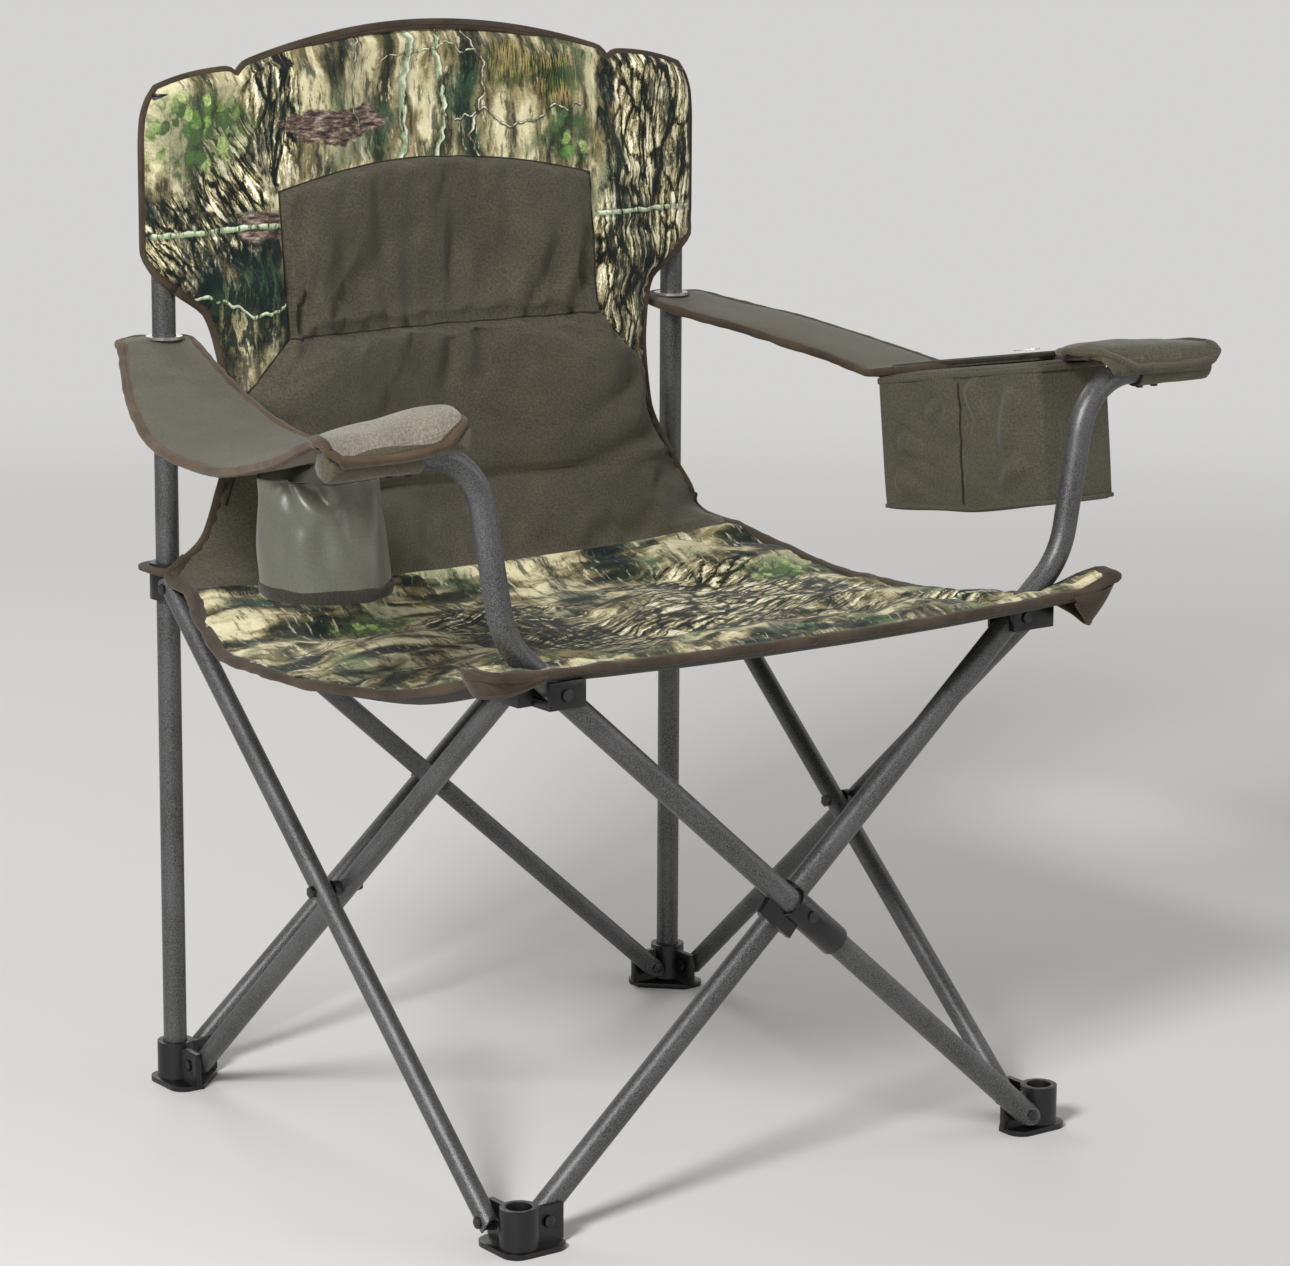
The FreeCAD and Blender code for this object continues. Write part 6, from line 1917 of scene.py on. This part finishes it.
GATHERED = {side: dict(axis=(0, 1, 0), anchor=(0, ARM_Y[side], 0), keep=0.4) for side in ARM_Y}
for side, name in SIDES:
    body, gathered = name + "_armrest", GATHERED[side]
    belongs(pads[side], body, (), "olive_fabric", 0.5, gathered)
    belongs(strips[side], body, ["armrest_" + name], "olive_fabric", 0.3, gathered)
    if side < 0:
        belongs(cup_pouch, body, ["cup_holder"], "olive_satin", squash=gathered)
        belongs(cup_hem, body, (), "olive_satin", squash=gathered)
        belongs(cup_mouth, body, (), "olive_fabric", squash=gathered)
        cup_around = math.pi * (CUP_HIGH.x - CUP_LOW.x)
        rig.sheet(cup_pouch, flat=(cup_around, CUP_HIGH.z - CUP_LOW.z + 0.027), held="hung",
                 rests_on=[strips[side]], with_pieces=[cup_hem, cup_mouth])
    else:
        belongs(cooler_bag, body, ["cooler_body"], "olive_fabric", 0.4, gathered)
        belongs(cooler_trim, body, (), "brown_fabric", squash=gathered)
    belongs(sew_sleeve(side, name), name + "_arm_tube", ["arm_sleeve_" + name], "olive_fabric", 0.2)
    belongs(sew_tab(side, name), name + "_collar", ["rear_tab_" + name], "brown_fabric", 0.2)
    belongs(sew_corner(side, name), name + "_hub", ["corner_pocket_" + name], "brown_fabric", 0.1)
# the lid and its pull gather with the strip that the lid closes
belongs(cooler_lid, "cooler_lid", ["cooler_lid"], "olive_fabric", 0.2, GATHERED[1])
belongs(zip_pull, "cooler_lid", (), "eyelet_metal", squash=GATHERED[1])


# ---------------------------------------------------------------- hard parts
def moulding(node, body, key, slot, edge):
    """A moulded part: the frame's own shape, its edges softened."""
    source = frame["nodes"][node]
    made = source.copy()
    made.data = source.data.copy()
    made.name = node + "_moulding"
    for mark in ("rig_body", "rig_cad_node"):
        if mark in made:
            del made[mark]
    made.parent = None
    bpy.context.scene.collection.objects.link(made)
    only(made)
    bpy.ops.mesh.customdata_custom_splitnormals_clear()
    mode("EDIT")
    bpy.ops.mesh.select_all(action="SELECT")
    bpy.ops.mesh.remove_doubles(threshold=1e-5)
    bpy.ops.mesh.dissolve_limited(angle_limit=math.radians(0.6))
    mode("OBJECT")
    soften(made, edge, limit_method="ANGLE", angle_limit=math.radians(38), use_clamp_overlap=True)
    made.data.materials.clear()
    made.data.materials.append(M[key])
    bpy.ops.object.shade_smooth_by_angle(angle=math.radians(40))
    belongs(made, body, [node], slot)


BODY_OF = {node: body for body, members in frame["record"]["behaviour"]["bodies"].items()
           for node in members}
for node in sorted(frame["nodes"]):
    if node.startswith(("foot_front", "foot_rear", "hub_left", "hub_right", "collar_left",
                        "collar_right", "front_clamp_left", "front_clamp_right", "post_cap")):
        moulding(node, BODY_OF[node], "black", "moulded_black", 0.0009)
    elif node.startswith(("foot_rivets", "hub_rivets", "collar_rivets", "front_clamp_rivet",
                          "sleeve_screws")) or "crossing_bolt" in node:
        moulding(node, BODY_OF[node], "rivet", "rivet_steel", 0.0005)
    else:
        mesh = frame["nodes"][node].data
        key = "tube"
        if node.startswith("armrest_eyelet"):
            key = "eyelet"
        if node.startswith("tab_grommet"):
            key = "dark_metal"
        if not mesh.materials:
            mesh.materials.append(M[key])
        for index in range(len(mesh.materials)):
            mesh.materials[index] = M[key]


# ---------------------------------------------------------------- floor, light and camera
def plain(name, tone):
    """An even, dull material, for the stage only."""
    def build(n, s):
        n.put(s["Base Color"], tone)
        n.put(s["Roughness"], 0.9)
    return material(name, build)


def studio_floor():
    """A pale floor that fades, a few metres out, into the same pale tone as the backdrop."""
    made = plain("floor_pale", (0.80, 0.79, 0.77, 1))
    n = Nodes(made.node_tree)
    end, shader = (next(node for node in made.node_tree.nodes if node.type == kind)
                   for kind in ("OUTPUT_MATERIAL", "BSDF_PRINCIPLED"))
    x, y, _ = n.split(n.in_piece())
    away = n.sum("SQRT", n.plus(n.times(x, x), n.times(y, y)))
    seen = n.node("ShaderNodeLightPath").outputs["Is Camera Ray"]
    faded = n.times(n.step(away, *FLOOR_FADES), seen)
    backdrop = n.glow("ShaderNodeEmission", BACKDROP, 1.0)
    n.put(end.inputs[0], n.blend(faded, shader.outputs[0], backdrop))
    return made


FLOOR_FADES = (1.4, 4.5)
BACKDROP = (0.66, 0.655, 0.64, 1)
bpy.ops.object.select_all(action="DESELECT")
bpy.ops.mesh.primitive_plane_add(size=40, location=(0, 0, 0))
floor = bpy.context.object
floor.name = "studio_floor"
floor.data.materials.append(studio_floor())
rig.stage(floor)

world = bpy.context.scene.world or bpy.data.worlds.new("studio")
bpy.context.scene.world = world
world.use_nodes = True
sky = Nodes(world.node_tree)
world.node_tree.nodes.clear()
soft = sky.glow("ShaderNodeBackground", (0.80, 0.80, 0.80, 1), 0.33)
pale = sky.glow("ShaderNodeBackground", BACKDROP, 1.0)
path = sky.node("ShaderNodeLightPath").outputs
seen = sky.sum("MAXIMUM", sky.sum("MAXIMUM", path["Is Camera Ray"], path["Is Glossy Ray"]),
               path["Is Transmission Ray"])
sky.put(sky.node("ShaderNodeOutputWorld").inputs[0], sky.blend(seen, soft, pale))


def lamp(name, place, target, size, power):
    """A soft rectangle of light that faces its target."""
    data = bpy.data.lights.new(name, "AREA")
    data.shape = "RECTANGLE"
    data.size, data.size_y = size
    data.energy = power
    made = bpy.data.objects.new(name, data)
    bpy.context.scene.collection.objects.link(made)
    made.location = place
    made.rotation_euler = (Vector(target) - Vector(place)).to_track_quat("-Z", "Y").to_euler()


lamp("key_lamp", (-3.0, -1.6, 2.8), (0, 0, 0.6), (0.9, 0.9), 138)
lamp("fill_lamp", (2.6, -2.2, 1.8), (0, 0, 0.5), (2.2, 2.2), 20)
lamp("rim_lamp", (0.5, 2.8, 2.4), (0, 0, 0.6), (2.0, 1.2), 28)

YAW, DOWN, ROLL = math.radians(36.61), math.radians(10.45), math.radians(0.378)
camera = bpy.data.cameras.new("camera")
camera.lens = 119.2
camera.sensor_width = 36
camera.shift_x = -0.0352
camera.shift_y = -0.0795
viewer = bpy.data.objects.new("camera", camera)
bpy.context.scene.collection.objects.link(viewer)
viewer.location = (-2.2366, -3.1496, 1.2599)
ahead = Vector((math.sin(YAW) * math.cos(DOWN), math.cos(YAW) * math.cos(DOWN), -math.sin(DOWN)))
turned = ahead.to_track_quat("-Z", "Y").to_matrix()
viewer.rotation_euler = (turned @ Matrix.Rotation(ROLL, 3, "Z")).to_euler()
bpy.context.scene.camera = viewer
bpy.context.scene.view_settings.view_transform = "Standard"

with open("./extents.json", "w") as out:
    json.dump({"cad": CAD_BOX, "visual": [list(corner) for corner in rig.bounds()]}, out)
